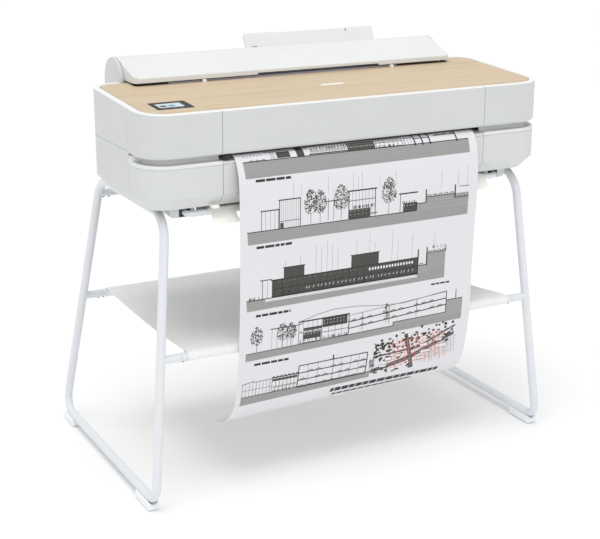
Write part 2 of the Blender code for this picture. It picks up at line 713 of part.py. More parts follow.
# ---------------------------------------------------------------- print mechanism
platen = box("platen", (-0.3290, -0.1540, 0.7640), (0.3290, 0.0180, PLATEN_Z), "dark_plastic")
slot_y = (FEED_Y - FEED_R - 0.0010, FEED_Y + FEED_R + 0.0010)
cut(platen, box("roller_slot", (-0.3200, slot_y[0], 0.74), (0.3200, slot_y[1], 0.79), "dark_plastic"))
feed_profile = [
    (-0.4530, 0.0050),
    (-0.3190, 0.0050),
    (-0.3190, FEED_R),
    (0.3190, FEED_R),
    (0.3190, 0.0050),
    (0.4530, 0.0050),
]
FEED_Z = PLATEN_Z - FEED_R
feed = lathe_x("feed_roller", feed_profile, FEED_Y, FEED_Z, "rubber", 24)
pivot(feed, 0.0, FEED_Y, FEED_Z)
PINCH_Z = PLATEN_Z + 0.0005 + PAPER_T + 0.0004 + PINCH_R
pinch = lathe_x("pinch_roller", [(-0.3190, PINCH_R), (0.3190, PINCH_R)], FEED_Y, PINCH_Z, "dark_plastic", 20)
pivot(pinch, 0.0, FEED_Y, PINCH_Z)
lathe_x("carriage_rod", [(-0.4531, ROD_R), (0.4531, ROD_R)], ROD_Y, ROD_Z, "steel", 32)
low = (CAR_X - CAR_HALF, -0.1000, 0.7900)
carriage = box("carriage", low, (CAR_X + CAR_HALF, -0.0360, 0.8520), "dark_plastic", 0.003)
bore_end = CAR_HALF + 0.005
bore_r = ROD_R + 0.0001
bore = [(CAR_X - bore_end, bore_r), (CAR_X + bore_end, bore_r)]
cut(carriage, lathe_x("bore", bore, ROD_Y, ROD_Z, "steel", 32))
low = (CAR_X - HEAD_HALF, -0.0900, 0.7790)
head = box("printhead", low, (CAR_X + HEAD_HALF, -0.0480, 0.7896), "black_plastic", 0.001)
pivot(carriage, CAR_X, ROD_Y, ROD_Z)
pivot(head, CAR_X, ROD_Y, ROD_Z)
belt = []
for cx, a0 in ((BELT_X, -90), (-BELT_X, 90)):
    for i in range(9):
        a = math.radians(a0 + 180 * i / 8)
        belt.append((cx + BELT_R * math.cos(a), BELT_Z + BELT_R * math.sin(a)))
belt_rings = []
for x, z in belt:
    cx = BELT_X if x > 0 else -BELT_X
    k = (BELT_R - BELT_T) / BELT_R
    ix, iz = cx + (x - cx) * k, BELT_Z + (z - BELT_Z) * k
    y0, y1 = BELT_Y
    belt_rings.append([(x, y0, z), (x, y1, z), (ix, y1, iz), (ix, y0, iz)])
loft("drive_belt", belt_rings, "rubber", closed=True)
for i, ink in enumerate(("black", "cyan", "magenta", "yellow")):
    x = TANK_X + i * TANK_PITCH
    box("ink_" + ink, (x, -0.1920, 0.6970), (x + TANK_W, -0.1250, 0.7480), "ink_" + ink, 0.0015)

# ---------------------------------------------------------------- rear details
def leaning(name, xs, along, through, slot):
    """Plate in the tray's leaning plane: along is up the tray, through is depth."""
    c, s = math.cos(TRAY_LEAN), math.sin(TRAY_LEAN)
    pts = []
    (u0, u1), (w0, w1) = along, through
    for u, w in ((u0, w0), (u1, w0), (u1, w1), (u0, w1)):
        pts.append((TRAY_Y + u * s + w * c, TRAY_Z + u * c - w * s))
    return prism_x(name, pts, xs[0], xs[1], slot)


tray = leaning("sheet_tray", TRAY_X, (-0.006, TRAY_TOP), (0.0, 0.0070), "cover_white")
pocket_x = (TRAY_X[0] + 0.082, TRAY_X[1] - 0.010)
cut(tray, leaning("pocket", pocket_x, (0.004, 0.09), (0.0024, 0.0056), "cover_white"))
cut(tray, leaning("notch", NOTCH_X, (TRAY_TOP - NOTCH_DEPTH, 0.09), (-0.01, 0.02), "cover_white"))
pivot(tray, 0.12, TRAY_Y, TRAY_Z)
ext_x = (pocket_x[0] + 0.0005, pocket_x[1] - 0.0005)
ext = leaning("tray_extension", ext_x, (0.0045, EXT_TOP), (0.0027, 0.0053), "cover_white")
notch_x = (NOTCH_X[0] - 0.0005, NOTCH_X[1] + 0.0005)
cut(ext, leaning("notch", notch_x, (TRAY_TOP - NOTCH_DEPTH, 0.09), (-0.01, 0.02), "cover_white"))
pivot(ext, 0.12, TRAY_Y, TRAY_Z)
guide = leaning("sheet_guide", (-0.030, -0.018), (0.018, 0.044), (-0.0064, -0.0004), "dark_plastic")
pivot(guide, -0.024, TRAY_Y, TRAY_Z)

inlet_low = (INLET_X[0], REAR_BACK + GAP, INLET_Z[0])
inlet = box("power_inlet", inlet_low, (INLET_X[1], REAR_BACK + 0.006, INLET_Z[1]), "black_plastic")
hole_low = (INLET_X[0] + 0.004, REAR_BACK + 0.002, INLET_Z[0] + 0.004)
cut(inlet, box("inlet_hole", hole_low, (INLET_X[1] - 0.004, REAR_BACK + 0.01, INLET_Z[1] - 0.004), "black_plastic"))
button_profile = [(-0.003, BUTTON_R), (0.0022, BUTTON_R), (0.0030, BUTTON_R - 0.0008)]
button = lathe_x("power_button", button_profile, 0.0, 0.0, "black_plastic", 24)
button.data.transform(Matrix.Translation((0, -SHIFT_Y, 0)))
button.data.transform(Matrix.Rotation(math.radians(90), 4, "Z"))
button.data.transform(Matrix.Translation((BUTTON_X, REAR_BACK + SHIFT_Y, BUTTON_Z)))
half = BUTTON_R + 0.0008
hole_low = (BUTTON_X - half, REAR_BACK - 0.006, BUTTON_Z - half)
cut(rear, box("button_hole", hole_low, (BUTTON_X + half, REAR_BACK + 0.01, BUTTON_Z + half), "lower_white"))
pivot(button, BUTTON_X, REAR_BACK, BUTTON_Z)


# ---------------------------------------------------------------- stand
def leg_x(z):
    t = (z - RAIL_Z) / (LEG_TOP_Z - RAIL_Z)
    return LEG_X_BOTTOM + (LEG_X_TOP - LEG_X_BOTTOM) * t


def front_leg_y(z):
    return FRONT_LEG_Y + FRONT_LEG_SLOPE * (z - LEG_TOP_Z)


def rear_leg_y(z):
    return REAR_LEG_Y + REAR_LEG_SLOPE * (z - LEG_TOP_Z)


def bar(name, x0, x1, y, z, slot, r_out, r_in):
    if r_in > 0:
        return ring_x(name, [(x0, r_in), (x0, r_out), (x1, r_out), (x1, r_in)], y, z, slot, 16)
    return lathe_x(name, [(x0, r_out), (x1, r_out)], y, z, slot, 16)


BARS = {
    "lower_front_bar": (front_leg_y(LOW_BAR_Z), LOW_BAR_Z),
    "lower_rear_bar": (rear_leg_y(LOW_BAR_Z), LOW_BAR_Z),
    "upper_rear_bar": (rear_leg_y(HIGH_BAR_Z), HIGH_BAR_Z),
}
for side, sign in (("left", -1), ("right", 1)):
    def at(y, z, sign=sign):
        return (sign * leg_x(z), y, z)

    loop = [
        at(LOOP_SEAM_Y - 0.0005, LEG_TOP_Z),
        at(front_leg_y(LEG_TOP_Z), LEG_TOP_Z),
        at(front_leg_y(RAIL_Z), RAIL_Z),
        at(rear_leg_y(RAIL_Z), RAIL_Z),
        at(rear_leg_y(LEG_TOP_Z), LEG_TOP_Z),
        at(LOOP_SEAM_Y + 0.0005, LEG_TOP_Z),
    ]
    path = rounded_path(loop, LOOP_BENDS, 7)
    up = Vector(at(0.0, LEG_TOP_Z)) - Vector(at(0.0, RAIL_Z))
    normal = up.cross(Vector((0, 1, 0)))
    frame = tube(side + "_side_frame", path, normal, "tube_white", TUBE_R, TUBE_BORE, 14)
    for y, z in BARS.values():
        x0, x1 = sorted((sign * BAR_END, sign * (leg_x(z) - 0.0040)))
        join(frame, bar("stub", x0, x1, y, z, "tube_white", BAR_R, 0))

for name, (y, z) in BARS.items():
    bar(name, -BAR_END + GAP, BAR_END - GAP, y, z, "tube_white", BAR_R, BAR_R - 0.0015)


def saddle(x, y0, y1):
    """Open groove along Y that leaves room for the floor rail."""
    half = [math.pi + math.pi * k / 10 for k in range(11)]
    outline = [(x + SADDLE_R * math.cos(a), RAIL_Z + SADDLE_R * math.sin(a)) for a in half]
    outline += [(x + SADDLE_R, RAIL_Z + 0.02), (x - SADDLE_R, RAIL_Z + 0.02)]
    rings = [[(u, y, z) for u, z in outline] for y in (y0 - 0.01, y1 + 0.01)]
    return loft("saddle", rings, "cover_white")


for end, (y0, y1) in (("front", FOOT_FRONT_Y), ("rear", FOOT_REAR_Y)):
    for side, sign in (("left", -1), ("right", 1)):
        x0, x1 = sorted((sign * FOOT_X[0], sign * FOOT_X[1]))
        foot = box("foot_" + end + "_" + side, (x0, y0, 0.0), (x1, y1, FOOT_TOP), "cover_white", 0.003)
        cut(foot, saddle(sign * LEG_X_BOTTOM, y0, y1))

for i, (key, sign) in enumerate((("lower_front_bar", -1), ("lower_front_bar", 1),
                                 ("lower_rear_bar", -1), ("lower_rear_bar", 1))):
    y, z = BARS[key]
    pts = [(x + sign * SCREW_X, q) for x, q, nx, ny in corner(0.0, y, SCREW_R, 0, 330, 11)]
    prism_z("stand_screw_%d" % (i + 1), pts, z - BAR_R - SCREW_HEIGHT, z - BAR_R - 0.0003, "steel")

# fabric shelf: flat sling with a hem round each lower bar
front_bar = BARS["lower_front_bar"]
rear_bar = BARS["lower_rear_bar"]
shelf = box(
    "fabric_shelf",
    (-HEM_X, front_bar[0], LOW_BAR_Z + FABRIC_RISE),
    (HEM_X, rear_bar[0], LOW_BAR_Z + FABRIC_RISE + FABRIC_T),
    "fabric_grey",
)
for y, z in (front_bar, rear_bar):
    join(shelf, lathe_x("hem", [(-HEM_X, HEM_R), (HEM_X, HEM_R)], y, z, "fabric_grey", 20))
for y, z in (front_bar, rear_bar):
    bore_r = BAR_R + 0.0005
    cut(shelf, lathe_x("hem_bore", [(-HEM_X - 0.01, bore_r), (HEM_X + 0.01, bore_r)], y, z, "fabric_grey", 20))

# brackets, sockets and the rail below the front of the body
ry, rz = FRONT_RAIL
for side, sign in (("left", -1), ("right", 1)):
    x0, x1 = sorted((sign * BRACKET_X[1], sign * BRACKET_X[0]))
    high = (x1, BRACKET_Y[1], BOTTOM_Z - GAP)
    bracket = box(side + "_bracket", (x0, BRACKET_Y[0], BRACKET_LOW), high, "lower_white", 0.003, 2)
    half = SOCKET_HALF_X + GAP
    low = (sign * RAIL_END_X - half, BRACKET_Y[0] - 0.012, rz - SOCKET_HALF_Z - GAP * 0.75)
    high = (sign * RAIL_END_X + half, SOCKET_Y[1] + GAP, rz + SOCKET_HALF_Z + GAP * 0.75)
    cut(bracket, box("mouth", low, high, "lower_white"))
    low = (sign * RAIL_END_X - SOCKET_HALF_X, SOCKET_Y[0], rz - SOCKET_HALF_Z)
    high = (sign * RAIL_END_X + SOCKET_HALF_X, SOCKET_Y[1], rz + SOCKET_HALF_Z)
    socket = box(side + "_rail_socket", low, high, "black_plastic")
    half = FRONT_RAIL_R + 0.0005
    low = (sign * RAIL_END_X - half, BRACKET_Y[0] - 0.012, rz - half)
    high = (sign * RAIL_END_X + half, RAIL_END_Y + 0.0020, rz + half)
    cut(socket, box("groove", low, high, "black_plastic"))
rail_points = [
    (-RAIL_END_X, RAIL_END_Y, rz),
    (-RAIL_END_X, ry, rz),
    (RAIL_END_X, ry, rz),
    (RAIL_END_X, RAIL_END_Y, rz),
]
rail_path = rounded_path(rail_points, [RAIL_BEND, RAIL_BEND], 5)
tube("front_rail", rail_path, (0, 0, 1), "tube_white", FRONT_RAIL_R, FRONT_RAIL_R - 0.0012, 16)

# the flap grips the rail from behind and ends in a sloping leaf
clip = arc(ry, rz, FRONT_RAIL_R + 0.0005, CLIP_MOUTH, 140, 12)
clip += [(FLAP_TIP[0] - 0.0002, FLAP_TIP[1] - 0.0006), (FLAP_TIP[0] - 0.0016, FLAP_TIP[1] + 0.0006)]
clip += arc(ry, rz, FRONT_RAIL_R + 0.0026, 128, CLIP_MOUTH, 12)
flap = prism_x("output_flap", clip, -FLAP_X, FLAP_X, "cream")
pivot(flap, 0.0, ry, rz)
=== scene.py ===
"""Looks of the large format plotter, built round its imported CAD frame.

Units are metres.  Y values are written in machine coordinates, where the front
face of the body is at FRONT; build() shifts a mesh into the frame's coordinates.
"""
import bisect
import math
import random

import bmesh
import bpy
from mathutils import Matrix, Vector


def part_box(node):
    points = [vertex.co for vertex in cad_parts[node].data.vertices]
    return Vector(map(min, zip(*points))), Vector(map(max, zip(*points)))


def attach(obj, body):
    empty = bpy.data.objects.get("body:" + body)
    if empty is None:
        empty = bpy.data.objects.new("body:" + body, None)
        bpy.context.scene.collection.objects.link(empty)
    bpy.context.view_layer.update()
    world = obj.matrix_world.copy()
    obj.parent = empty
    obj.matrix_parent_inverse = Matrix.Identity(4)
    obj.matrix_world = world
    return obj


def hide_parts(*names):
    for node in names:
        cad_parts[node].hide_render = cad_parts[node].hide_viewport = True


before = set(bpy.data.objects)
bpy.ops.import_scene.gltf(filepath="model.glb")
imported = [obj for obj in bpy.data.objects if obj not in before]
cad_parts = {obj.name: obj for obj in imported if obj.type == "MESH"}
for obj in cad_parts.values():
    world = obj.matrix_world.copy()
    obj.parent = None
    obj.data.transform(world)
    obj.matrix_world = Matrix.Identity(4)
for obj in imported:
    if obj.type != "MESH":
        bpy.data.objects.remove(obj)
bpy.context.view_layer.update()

# ---------------------------------------------------------------- dimensions
FRONT = -0.200
SHIFT_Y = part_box("lower_centre_panel")[0].y - FRONT
HALF_W = 0.5065
REAR = 0.138
R_FRONT = 0.068
R_REAR = 0.048
SEAM_X = 0.332
SEAM_Y = -0.105
GAP = 0.0004
SEAM_GAP = 0.0009
WALL = 0.003
TOP_FRONT = 0.8715
TOP_SLOPE = 0.055
UPPER_BOTTOM = 0.777
GROOVE_Z = 0.7843
LIP_TOP = 0.7655
PARTING_Z = 0.7572
CHAMFER_Z = 0.693
BOTTOM_Z = 0.665
CHAMFER_IN = 0.027
RIM_W = 0.0142
ROLL_Y, ROLL_Z = 0.192, 0.883
COVER_R = 0.0555
COVER_X = 0.4187
LIP_Y = 0.0735
LIP_TOP_Z = 0.9055
LIP_BOTTOM_Z = 0.8930
LIP_CORNER_R = 0.016
ROLL_R = 0.045
PAPER_X = 0.305
PLATEN_Z = 0.770
REAR_BACK = 0.2525
TUBE_R = 0.010
RAIL_Z = 0.024
FOOT_TOP = 0.0205
SADDLE_R = 0.0106
LEG_TOP_Z = 0.652
LEG_X_BOTTOM = 0.514
LEG_X_TOP = 0.4527
BAR_R = 0.0092
BAR_END = 0.4367
LOW_BAR_Z = 0.342
HIGH_BAR_Z = 0.614
FRONT_RAIL = (-0.165, 0.650)
FRONT_RAIL_R = 0.0068
CLOTH_HALF = 0.4225
CLOTH_T = 0.0014
SLING_WAIST = 0.008
TRAY_Y, TRAY_Z = 0.2610, 0.8860
TRAY_X = (-0.0453, 0.3223)
TRAY_LEAN = math.radians(27)
SCREEN = ((-0.4535, -0.3705), (-0.1495, -0.0845))
DISPLAY = ((-0.4425, -0.3865), (-0.1330, -0.0980))
SIDES = (("left", -1), ("right", 1))


def top_z(y):
    return TOP_FRONT + TOP_SLOPE * (y - FRONT)


def span(sign, a, b):
    """Two X values of the right-hand side, taken to a side and put in order."""
    return sorted((sign * a, sign * b))


# ---------------------------------------------------------------- camera and light
def add(name, data):
    obj = bpy.data.objects.new(name, data)
    bpy.context.scene.collection.objects.link(obj)
    return obj


def make_camera():
    data = bpy.data.cameras.new("camera")
    data.lens = 80.11
    data.sensor_width = 36.0
    data.shift_x = 0.00457
    data.shift_y = -0.0008
    data.clip_end = 60.0
    camera = add("camera", data)
    camera.matrix_world = Matrix.Translation((-1.4728, -2.6946 + SHIFT_Y, 1.3753))
    for degrees, axis in ((-27.8304, "Z"), (90 - 17.176, "X"), (0.1232, "Z")):
        camera.matrix_world = camera.matrix_world @ Matrix.Rotation(math.radians(degrees), 4, axis)
    bpy.context.scene.camera = camera


def make_lights():
    data = bpy.data.lights.new("overhead", "SUN")
    data.energy = 1.38
    data.angle = math.radians(42)
    add("overhead", data).rotation_euler = (math.radians(8), math.radians(-9), 0)
    data = bpy.data.lights.new("key", "AREA")
    data.shape = "DISK"
    data.size = 1.6
    data.energy = 8
    key = add("key", data)
    key.location = (-0.6, -3.2, 2.0)
    key.rotation_euler = (Vector((0, 0, 0.6)) - key.location).to_track_quat("-Z", "Y").to_euler()


def make_sky():
    """The sky lights the scene softly, and is plain white where it is seen beyond the floor."""
    world = bpy.data.worlds.new("studio")
    bpy.context.scene.world = world
    bpy.context.scene.view_settings.view_transform = "Standard"
    world.use_nodes = True
    tree = world.node_tree
    sky = tree.nodes["Background"]
    sky.inputs["Color"].default_value = (1.0, 1.0, 1.0, 1.0)
    strength = tree.nodes.new("ShaderNodeMath")
    strength.operation = "MULTIPLY_ADD"
    strength.inputs[1].default_value = 0.32
    strength.inputs[2].default_value = 0.70
    tree.links.new(tree.nodes.new("ShaderNodeLightPath").outputs["Is Camera Ray"], strength.inputs[0])
    tree.links.new(strength.outputs[0], sky.inputs["Strength"])


def make_floor():
    bm = bmesh.new()
    bmesh.ops.create_grid(bm, x_segments=2, y_segments=2, size=14.0)
    mesh = bpy.data.meshes.new("floor")
    bm.to_mesh(mesh)
    bm.free()
    floor = add("floor", mesh)
    floor.location.z = -0.0002
    look = Look("floor_paint", (0.93, 0.93, 0.93), 0.9)
    look.tint(look.noise(0.7), (0.925, 0.925, 0.925), (0.935, 0.935, 0.935))
    mesh.materials.append(look.mat)


# ---------------------------------------------------------------- materials
def srgb(*colour):
    """Linear colour of an 8-bit sRGB one."""
    shares = [v / 255 for v in colour]
    return tuple(v / 12.92 if v <= 0.04045 else ((v + 0.055) / 1.055) ** 2.4 for v in shares)


class Look:
    """A Principled material, with short ways to add the nodes that it needs."""

    def __init__(self, name, colour, rough, metal=0.0, coat=0.0, sheen=0.0):
        self.colour = colour
        self.mat = bpy.data.materials.new(name)
        self.mat.use_nodes = True
        self.shader = self.mat.node_tree.nodes["Principled BSDF"]
        values = {"Base Color": (*colour, 1.0), "Roughness": rough, "Metallic": metal}
        if coat:
            values.update({"Coat Weight": coat, "Coat Roughness": 0.08})
        if sheen:
            values.update({"Sheen Weight": sheen, "Sheen Roughness": 0.5})
        for socket, value in values.items():
            self.shader.inputs[socket].default_value = value
        self.coords = self.node("TexCoord", {}).outputs["Object"]
        self.normal = None

    def node(self, kind, inputs, **settings):
        """A new node; its inputs are numbers, tuples or the outputs of other nodes."""
        node = self.mat.node_tree.nodes.new("ShaderNode" + kind)
        for key, value in settings.items():
            setattr(node, key, value)
        for socket, value in inputs.items():
            if isinstance(value, bpy.types.NodeSocket):
                self.mat.node_tree.links.new(value, node.inputs[socket])
            else:
                node.inputs[socket].default_value = value
        return node

    def output(self, value, socket):
        self.mat.node_tree.links.new(value, self.shader.inputs[socket])

    def noise(self, scale, detail=2.0, rough=0.5, distort=0.0, along=None):
        """Noise over the piece; along scales the coordinates on each axis."""
        vector = self.coords
        if along:
            vector = self.node("Mapping", {"Scale": along, "Vector": vector}).outputs["Vector"]
        inputs = {"Scale": scale, "Detail": detail, "Roughness": rough, "Distortion": distort, "Vector": vector}
        return self.node("TexNoise", inputs).outputs["Fac"]

    def math(self, kind, a, b=0.5):
        return self.node("Math", {0: a, 1: b}, operation=kind).outputs["Value"]

    def wave(self, value, pitch):
        return self.math("SINE", self.math("MULTIPLY", value, 2 * math.pi / pitch))

    def axes(self):
        return self.node("SeparateXYZ", {"Vector": self.coords}).outputs

    def fit(self, value, low, high, to_low=0.0, to_high=1.0):
        inputs = {"From Min": low, "From Max": high, "To Min": to_low, "To Max": to_high, "Value": value}
        return self.node("MapRange", inputs).outputs["Result"]

    def ramp(self, value, *stops):
        """Colours along a value: each stop is (place, colour)."""
        node = self.node("ValToRGB", {"Fac": value})
        elements = node.color_ramp.elements
        while len(elements) < len(stops):
            elements.new(0.5)
        for element, (position, colour) in zip(elements, stops):
            element.position = position
            element.color = (*colour, 1.0)
        return node.outputs["Color"]

    def product(self, a, b):
        """Two colours multiplied."""
        return self.node("Mix", {0: 1.0, 6: a, 7: b}, data_type="RGBA", blend_type="MULTIPLY").outputs[2]

    def tint(self, value, a, b, low=0.35, high=0.65):
        """Base colour from a to b as value goes from low to high; a number shades the look's own colour."""
        ends = [tuple(c * end for c in self.colour) if isinstance(end, float) else end for end in (a, b)]
        self.output(self.ramp(value, (low, ends[0]), (high, ends[1])), "Base Color")

    def dull(self, value, low, high):
        """Roughness from low to high along a noise value."""
        self.output(self.fit(value, 0.3, 0.7, low, high), "Roughness")

    def bump(self, height, strength, depth):
        inputs = {"Strength": strength, "Distance": depth, "Height": height}
        if self.normal is not None:
            inputs["Normal"] = self.normal
        self.normal = self.node("Bump", inputs).outputs["Normal"]
        self.output(self.normal, "Normal")


def moulded(name, colour, rough, grain=0.12, spread=0.012):
    """Moulded plastic: spark-eroded grain, faint mottling, fine surface scuffs."""
    look = Look(name, colour, rough)
    look.tint(look.noise(9.0, 3.0), 1 - spread, 1 + spread)
    look.dull(look.noise(55.0, 4.0), rough - 0.05, rough + 0.06)
    look.bump(look.noise(2600.0), grain, 0.00012)
    look.bump(look.noise(420.0), grain * 0.5, 0.00012)
    return look


def knurled(name, colour, rough, pitch=0.0046):
    """Moulded plastic with a fine diamond pattern that runs round the corners."""
    look = moulded(name, colour, rough, 0.06, 0.008)
    x, y, z = look.axes()
    along = look.math("ADD", look.math("ABSOLUTE", x), y)
    rising, falling = (look.wave(look.math(kind, along, z), pitch) for kind in ("ADD", "SUBTRACT"))
    faded = look.fit(z, CHAMFER_Z - 0.004, CHAMFER_Z + 0.002)
    height = look.math("MULTIPLY", look.math("MULTIPLY", rising, falling), faded)
    look.tint(look.fit(height, -1.0, 1.0), 0.90, 1.05, 0.1, 0.9)
    look.bump(height, 0.45, 0.00026)
    return look


def veneer(name, colour):
    """Pale oak veneer, grain along X."""
    look = Look(name, colour, 0.5)
    slow = look.noise(3.2, 4.0, 0.55, 0.35, (1.1, 11.0, 11.0))
    band = look.noise(2.4, 5.0, 0.6, 0.2, (0.7, 55.0, 55.0))
    fibre = look.noise(1.0, 3.0, 0.6, 0.0, (10.0, 1500.0, 1500.0))
    pores = look.noise(1.0, 1.0, along=(45.0, 1900.0, 1900.0))
    grain = look.math("ADD", look.math("MULTIPLY", slow, 0.42), look.math("MULTIPLY", band, 0.58))
    base = look.ramp(grain, (0.36, srgb(200, 177, 145)), (0.47, colour),
                     (0.56, srgb(216, 197, 169)), (0.66, srgb(206, 185, 153)))
    fine = look.ramp(fibre, (0.30, (0.90, 0.885, 0.86)), (0.62, (1.0, 1.0, 1.0)))
    dark = look.ramp(pores, (0.24, (0.80, 0.74, 0.66)), (0.33, (1.0, 1.0, 1.0)))
    look.output(look.product(look.product(base, fine), dark), "Base Color")
    look.dull(grain, 0.46, 0.56)
    look.bump(fibre, 0.12, 0.00010)
    look.bump(pores, 0.10, 0.00010)
    return look


def powder_coat(name, colour):
    """Powder coat: slight orange peel under a satin skin."""
    look = Look(name, colour, 0.36, coat=0.18)
    look.tint(look.noise(14.0, 3.0), 0.985, 1.012)
    look.dull(look.noise(120.0, 3.0), 0.32, 0.42)
    look.bump(look.noise(700.0), 0.10, 0.00020)
    return look


def woven(name, colour, pitch=0.0011):
    """Plain-weave polyester: crossing threads, slubs and a soft sheen."""
    look = Look(name, colour, 0.88, sheen=0.25)
    x, y, z = look.axes()
    cloth = look.math("MULTIPLY", look.wave(x, pitch), look.wave(look.math("ADD", y, z), pitch))
    slub, cross = (look.math("MULTIPLY", look.noise(1.0, along=along), 0.5)
                   for along in ((12.0, 900.0, 900.0), (900.0, 12.0, 12.0)))
    threads = look.math("ADD", slub, cross)
    look.tint(look.math("ADD", threads, look.math("MULTIPLY", cloth, 0.06)), 0.93, 1.05)
    look.bump(cloth, 0.30, 0.00025)
    look.bump(threads, 0.20, 0.00025)
    look.bump(look.noise(26.0, 3.0), 0.10, 0.0012)
    return look


def coated_paper(name, colour):
    """Matt coated paper with faint fibre clouds."""
    look = Look(name, colour, 0.62)
    look.tint(look.noise(420.0, 4.0, 0.65), 0.985, 1.008)
    look.dull(look.noise(90.0, 3.0), 0.56, 0.70)
    look.bump(look.noise(1800.0, 3.0), 0.06, 0.00006)
    return look


def ink(name, colour):
    """Printed ink: the paper's tooth shows through as a faint halftone."""
    look = Look(name, colour, 0.7)
    dots = look.noise(1500.0)
    look.tint(dots, colour, tuple(c + (0.86 - c) * 0.10 for c in colour), 0.42, 0.80)
    look.bump(dots, 0.04, 0.00005)
    return look


def steel(name, colour, rough):
    """Ground steel: fine lines along the part."""
    look = Look(name, colour, rough, 1.0)
    lines = look.noise(1.0, 3.0, along=(6.0, 900.0, 900.0))
    look.tint(lines, 0.90, 1.06)
    look.dull(lines, rough - 0.07, rough + 0.09)
    look.bump(lines, 0.08, 0.00005)
    return look


def zinc(name, colour):
    """Zinc-plated sheet with a faint spangle."""
    look = Look(name, colour, 0.42, 1.0)
    spangle = look.node("TexVoronoi", {"Scale": 110.0, "Vector": look.coords}).outputs["Distance"]
    look.tint(spangle, 0.86, 1.08, 0.1, 0.9)
    look.dull(look.noise(160.0, 3.0), 0.36, 0.52)
    look.bump(look.noise(900.0), 0.06, 0.00008)
    return look


def soft_rubber(name, colour):
    look = Look(name, colour, 0.82)
    fine = look.noise(1400.0, 3.0)
    look.tint(fine, (0.022, 0.022, 0.024), (0.040, 0.040, 0.042))
    look.dull(look.noise(80.0, 3.0), 0.74, 0.88)
    look.bump(fine, 0.22, 0.00015)
    return look


def glass_panel(name, colour):
    """Glossy panel with fine finger haze and a pixel grid under the gloss."""
    look = Look(name, colour, 0.30, coat=0.15)
    x, y = look.axes()[:2]
    grid = look.math("MULTIPLY", look.wave(x, 0.0006), look.wave(y, 0.0006))
    look.tint(look.fit(grid, -1.0, 1.0), 0.95, 1.03, 0.0, 1.0)
    look.dull(look.noise(60.0, 4.0), 0.26, 0.40)
    return look


# each look by name: its kind, its colour and, for some kinds, roughness, grain and spread
RECIPES = {
    "cover_white": (moulded, srgb(212, 215, 214), 0.44),
    "cover_top": (moulded, srgb(228, 230, 229), 0.40),
    # a lighter copy of cover_white for the covers' top faces: painted highlight of the light that falls on the
    # top
    "rim_white": (moulded, srgb(240, 241, 240), 0.38),
    # lighter than cover_white to lift the shade in the waist recess: painted light
    "recess_white": (moulded, srgb(229, 231, 230), 0.44),
    "tray_white": (moulded, srgb(234, 236, 235), 0.42),
    # violet grey of the plate under the roll cover's lip: painted shade of the paper roll seen in the gap
    "guard": (moulded, srgb(196, 194, 212), 0.50),
    "lower_white": (knurled, srgb(220, 223, 221), 0.52),
    "rear_white": (moulded, srgb(216, 218, 217), 0.50),
    "wood": (veneer, srgb(211, 191, 161)),
    "tube_white": (powder_coat, srgb(227, 231, 235)),
    # a lighter copy of the covers' white for the feet, lifted to offset the shade near the floor: painted light
    "foot_white": (moulded, srgb(246, 249, 252), 0.50),
    "cream": (moulded, srgb(250, 249, 243), 0.50),
    # grey of the strip under the body: painted shade
    "shade_grey": (moulded, srgb(160, 156, 148), 0.60),
    "fabric_grey": (woven, srgb(244, 243, 242)),
    "paper": (coated_paper, srgb(229, 228, 232)),
    "black_plastic": (moulded, (0.012, 0.012, 0.013), 0.44, 0.10, 0.10),
    "dark_plastic": (moulded, (0.060, 0.060, 0.066), 0.50, 0.14, 0.08),
    "bezel": (moulded, srgb(26, 26, 31), 0.50, 0.05, 0.05),
    "screen": (glass_panel, srgb(212, 222, 230)),
    "tile_green": (glass_panel, srgb(12, 78, 36)),
    "tile_blue": (glass_panel, srgb(84, 158, 204)),
    "steel": (steel, (0.55, 0.56, 0.58), 0.30),
    "sheet_steel": (zinc, (0.50, 0.51, 0.52)),
    "screw": (steel, (0.30, 0.31, 0.33), 0.36),
    "rubber": (soft_rubber, (0.028, 0.028, 0.03)),
    "hem_thread": (moulded, srgb(236, 235, 232), 0.8),
    "badge": (moulded, srgb(248, 248, 246), 0.35, 0.04),
    "cartridge_black": (moulded, (0.025, 0.025, 0.025), 0.40, 0.10, 0.10),
    "cartridge_cyan": (moulded, (0.02, 0.40, 0.62), 0.40, 0.10, 0.05),
    "cartridge_magenta": (moulded, (0.60, 0.05, 0.28), 0.40, 0.10, 0.05),
    "cartridge_yellow": (moulded, (0.82, 0.66, 0.05), 0.40, 0.10, 0.05),
}
# inks of the drawing, from the lowest layer to the top one
INKS = {
    "thin": (120, 119, 120),
    "ground": (160, 159, 158),
    "stroke": (116, 115, 114),
    "road": (84, 86, 88),
    "tree": (96, 88, 80),
    "leaf": (40, 36, 32),
    "green": (38, 58, 26),
    "dark": (62, 60, 56),
    "hatch": (168, 166, 163),
    "line": (20, 19, 20),
    "blank": (238, 238, 242),
    "red": (232, 120, 104),
}
LOOKS = {}


def make_looks():
    for name, (kind, *values) in RECIPES.items():
        LOOKS[name] = kind(name, *values)
    for name, colour in INKS.items():
        LOOKS["print_" + name] = ink("print_" + name, srgb(*colour))


# ---------------------------------------------------------------- mesh helpers
def build(name, verts, faces, look=None):
    """A mesh object with outward normals; verts are in machine coordinates, and a cutter needs no look."""
    mesh = bpy.data.meshes.new(name)
    mesh.from_pydata([(v[0], v[1] + SHIFT_Y, v[2]) for v in verts], [], faces)
    if look:
        mesh.materials.append(LOOKS[look].mat)
    clean(mesh)
    return add(name, mesh)


def clean(mesh, weld=0.0):
    """Weld vertices that are closer than weld, and turn every face outwards."""
    bm = bmesh.new()
    bm.from_mesh(mesh)
    if weld:
        bmesh.ops.remove_doubles(bm, verts=bm.verts, dist=weld)
    bmesh.ops.recalc_face_normals(bm, faces=bm.faces)
    bm.to_mesh(mesh)
    bm.free()


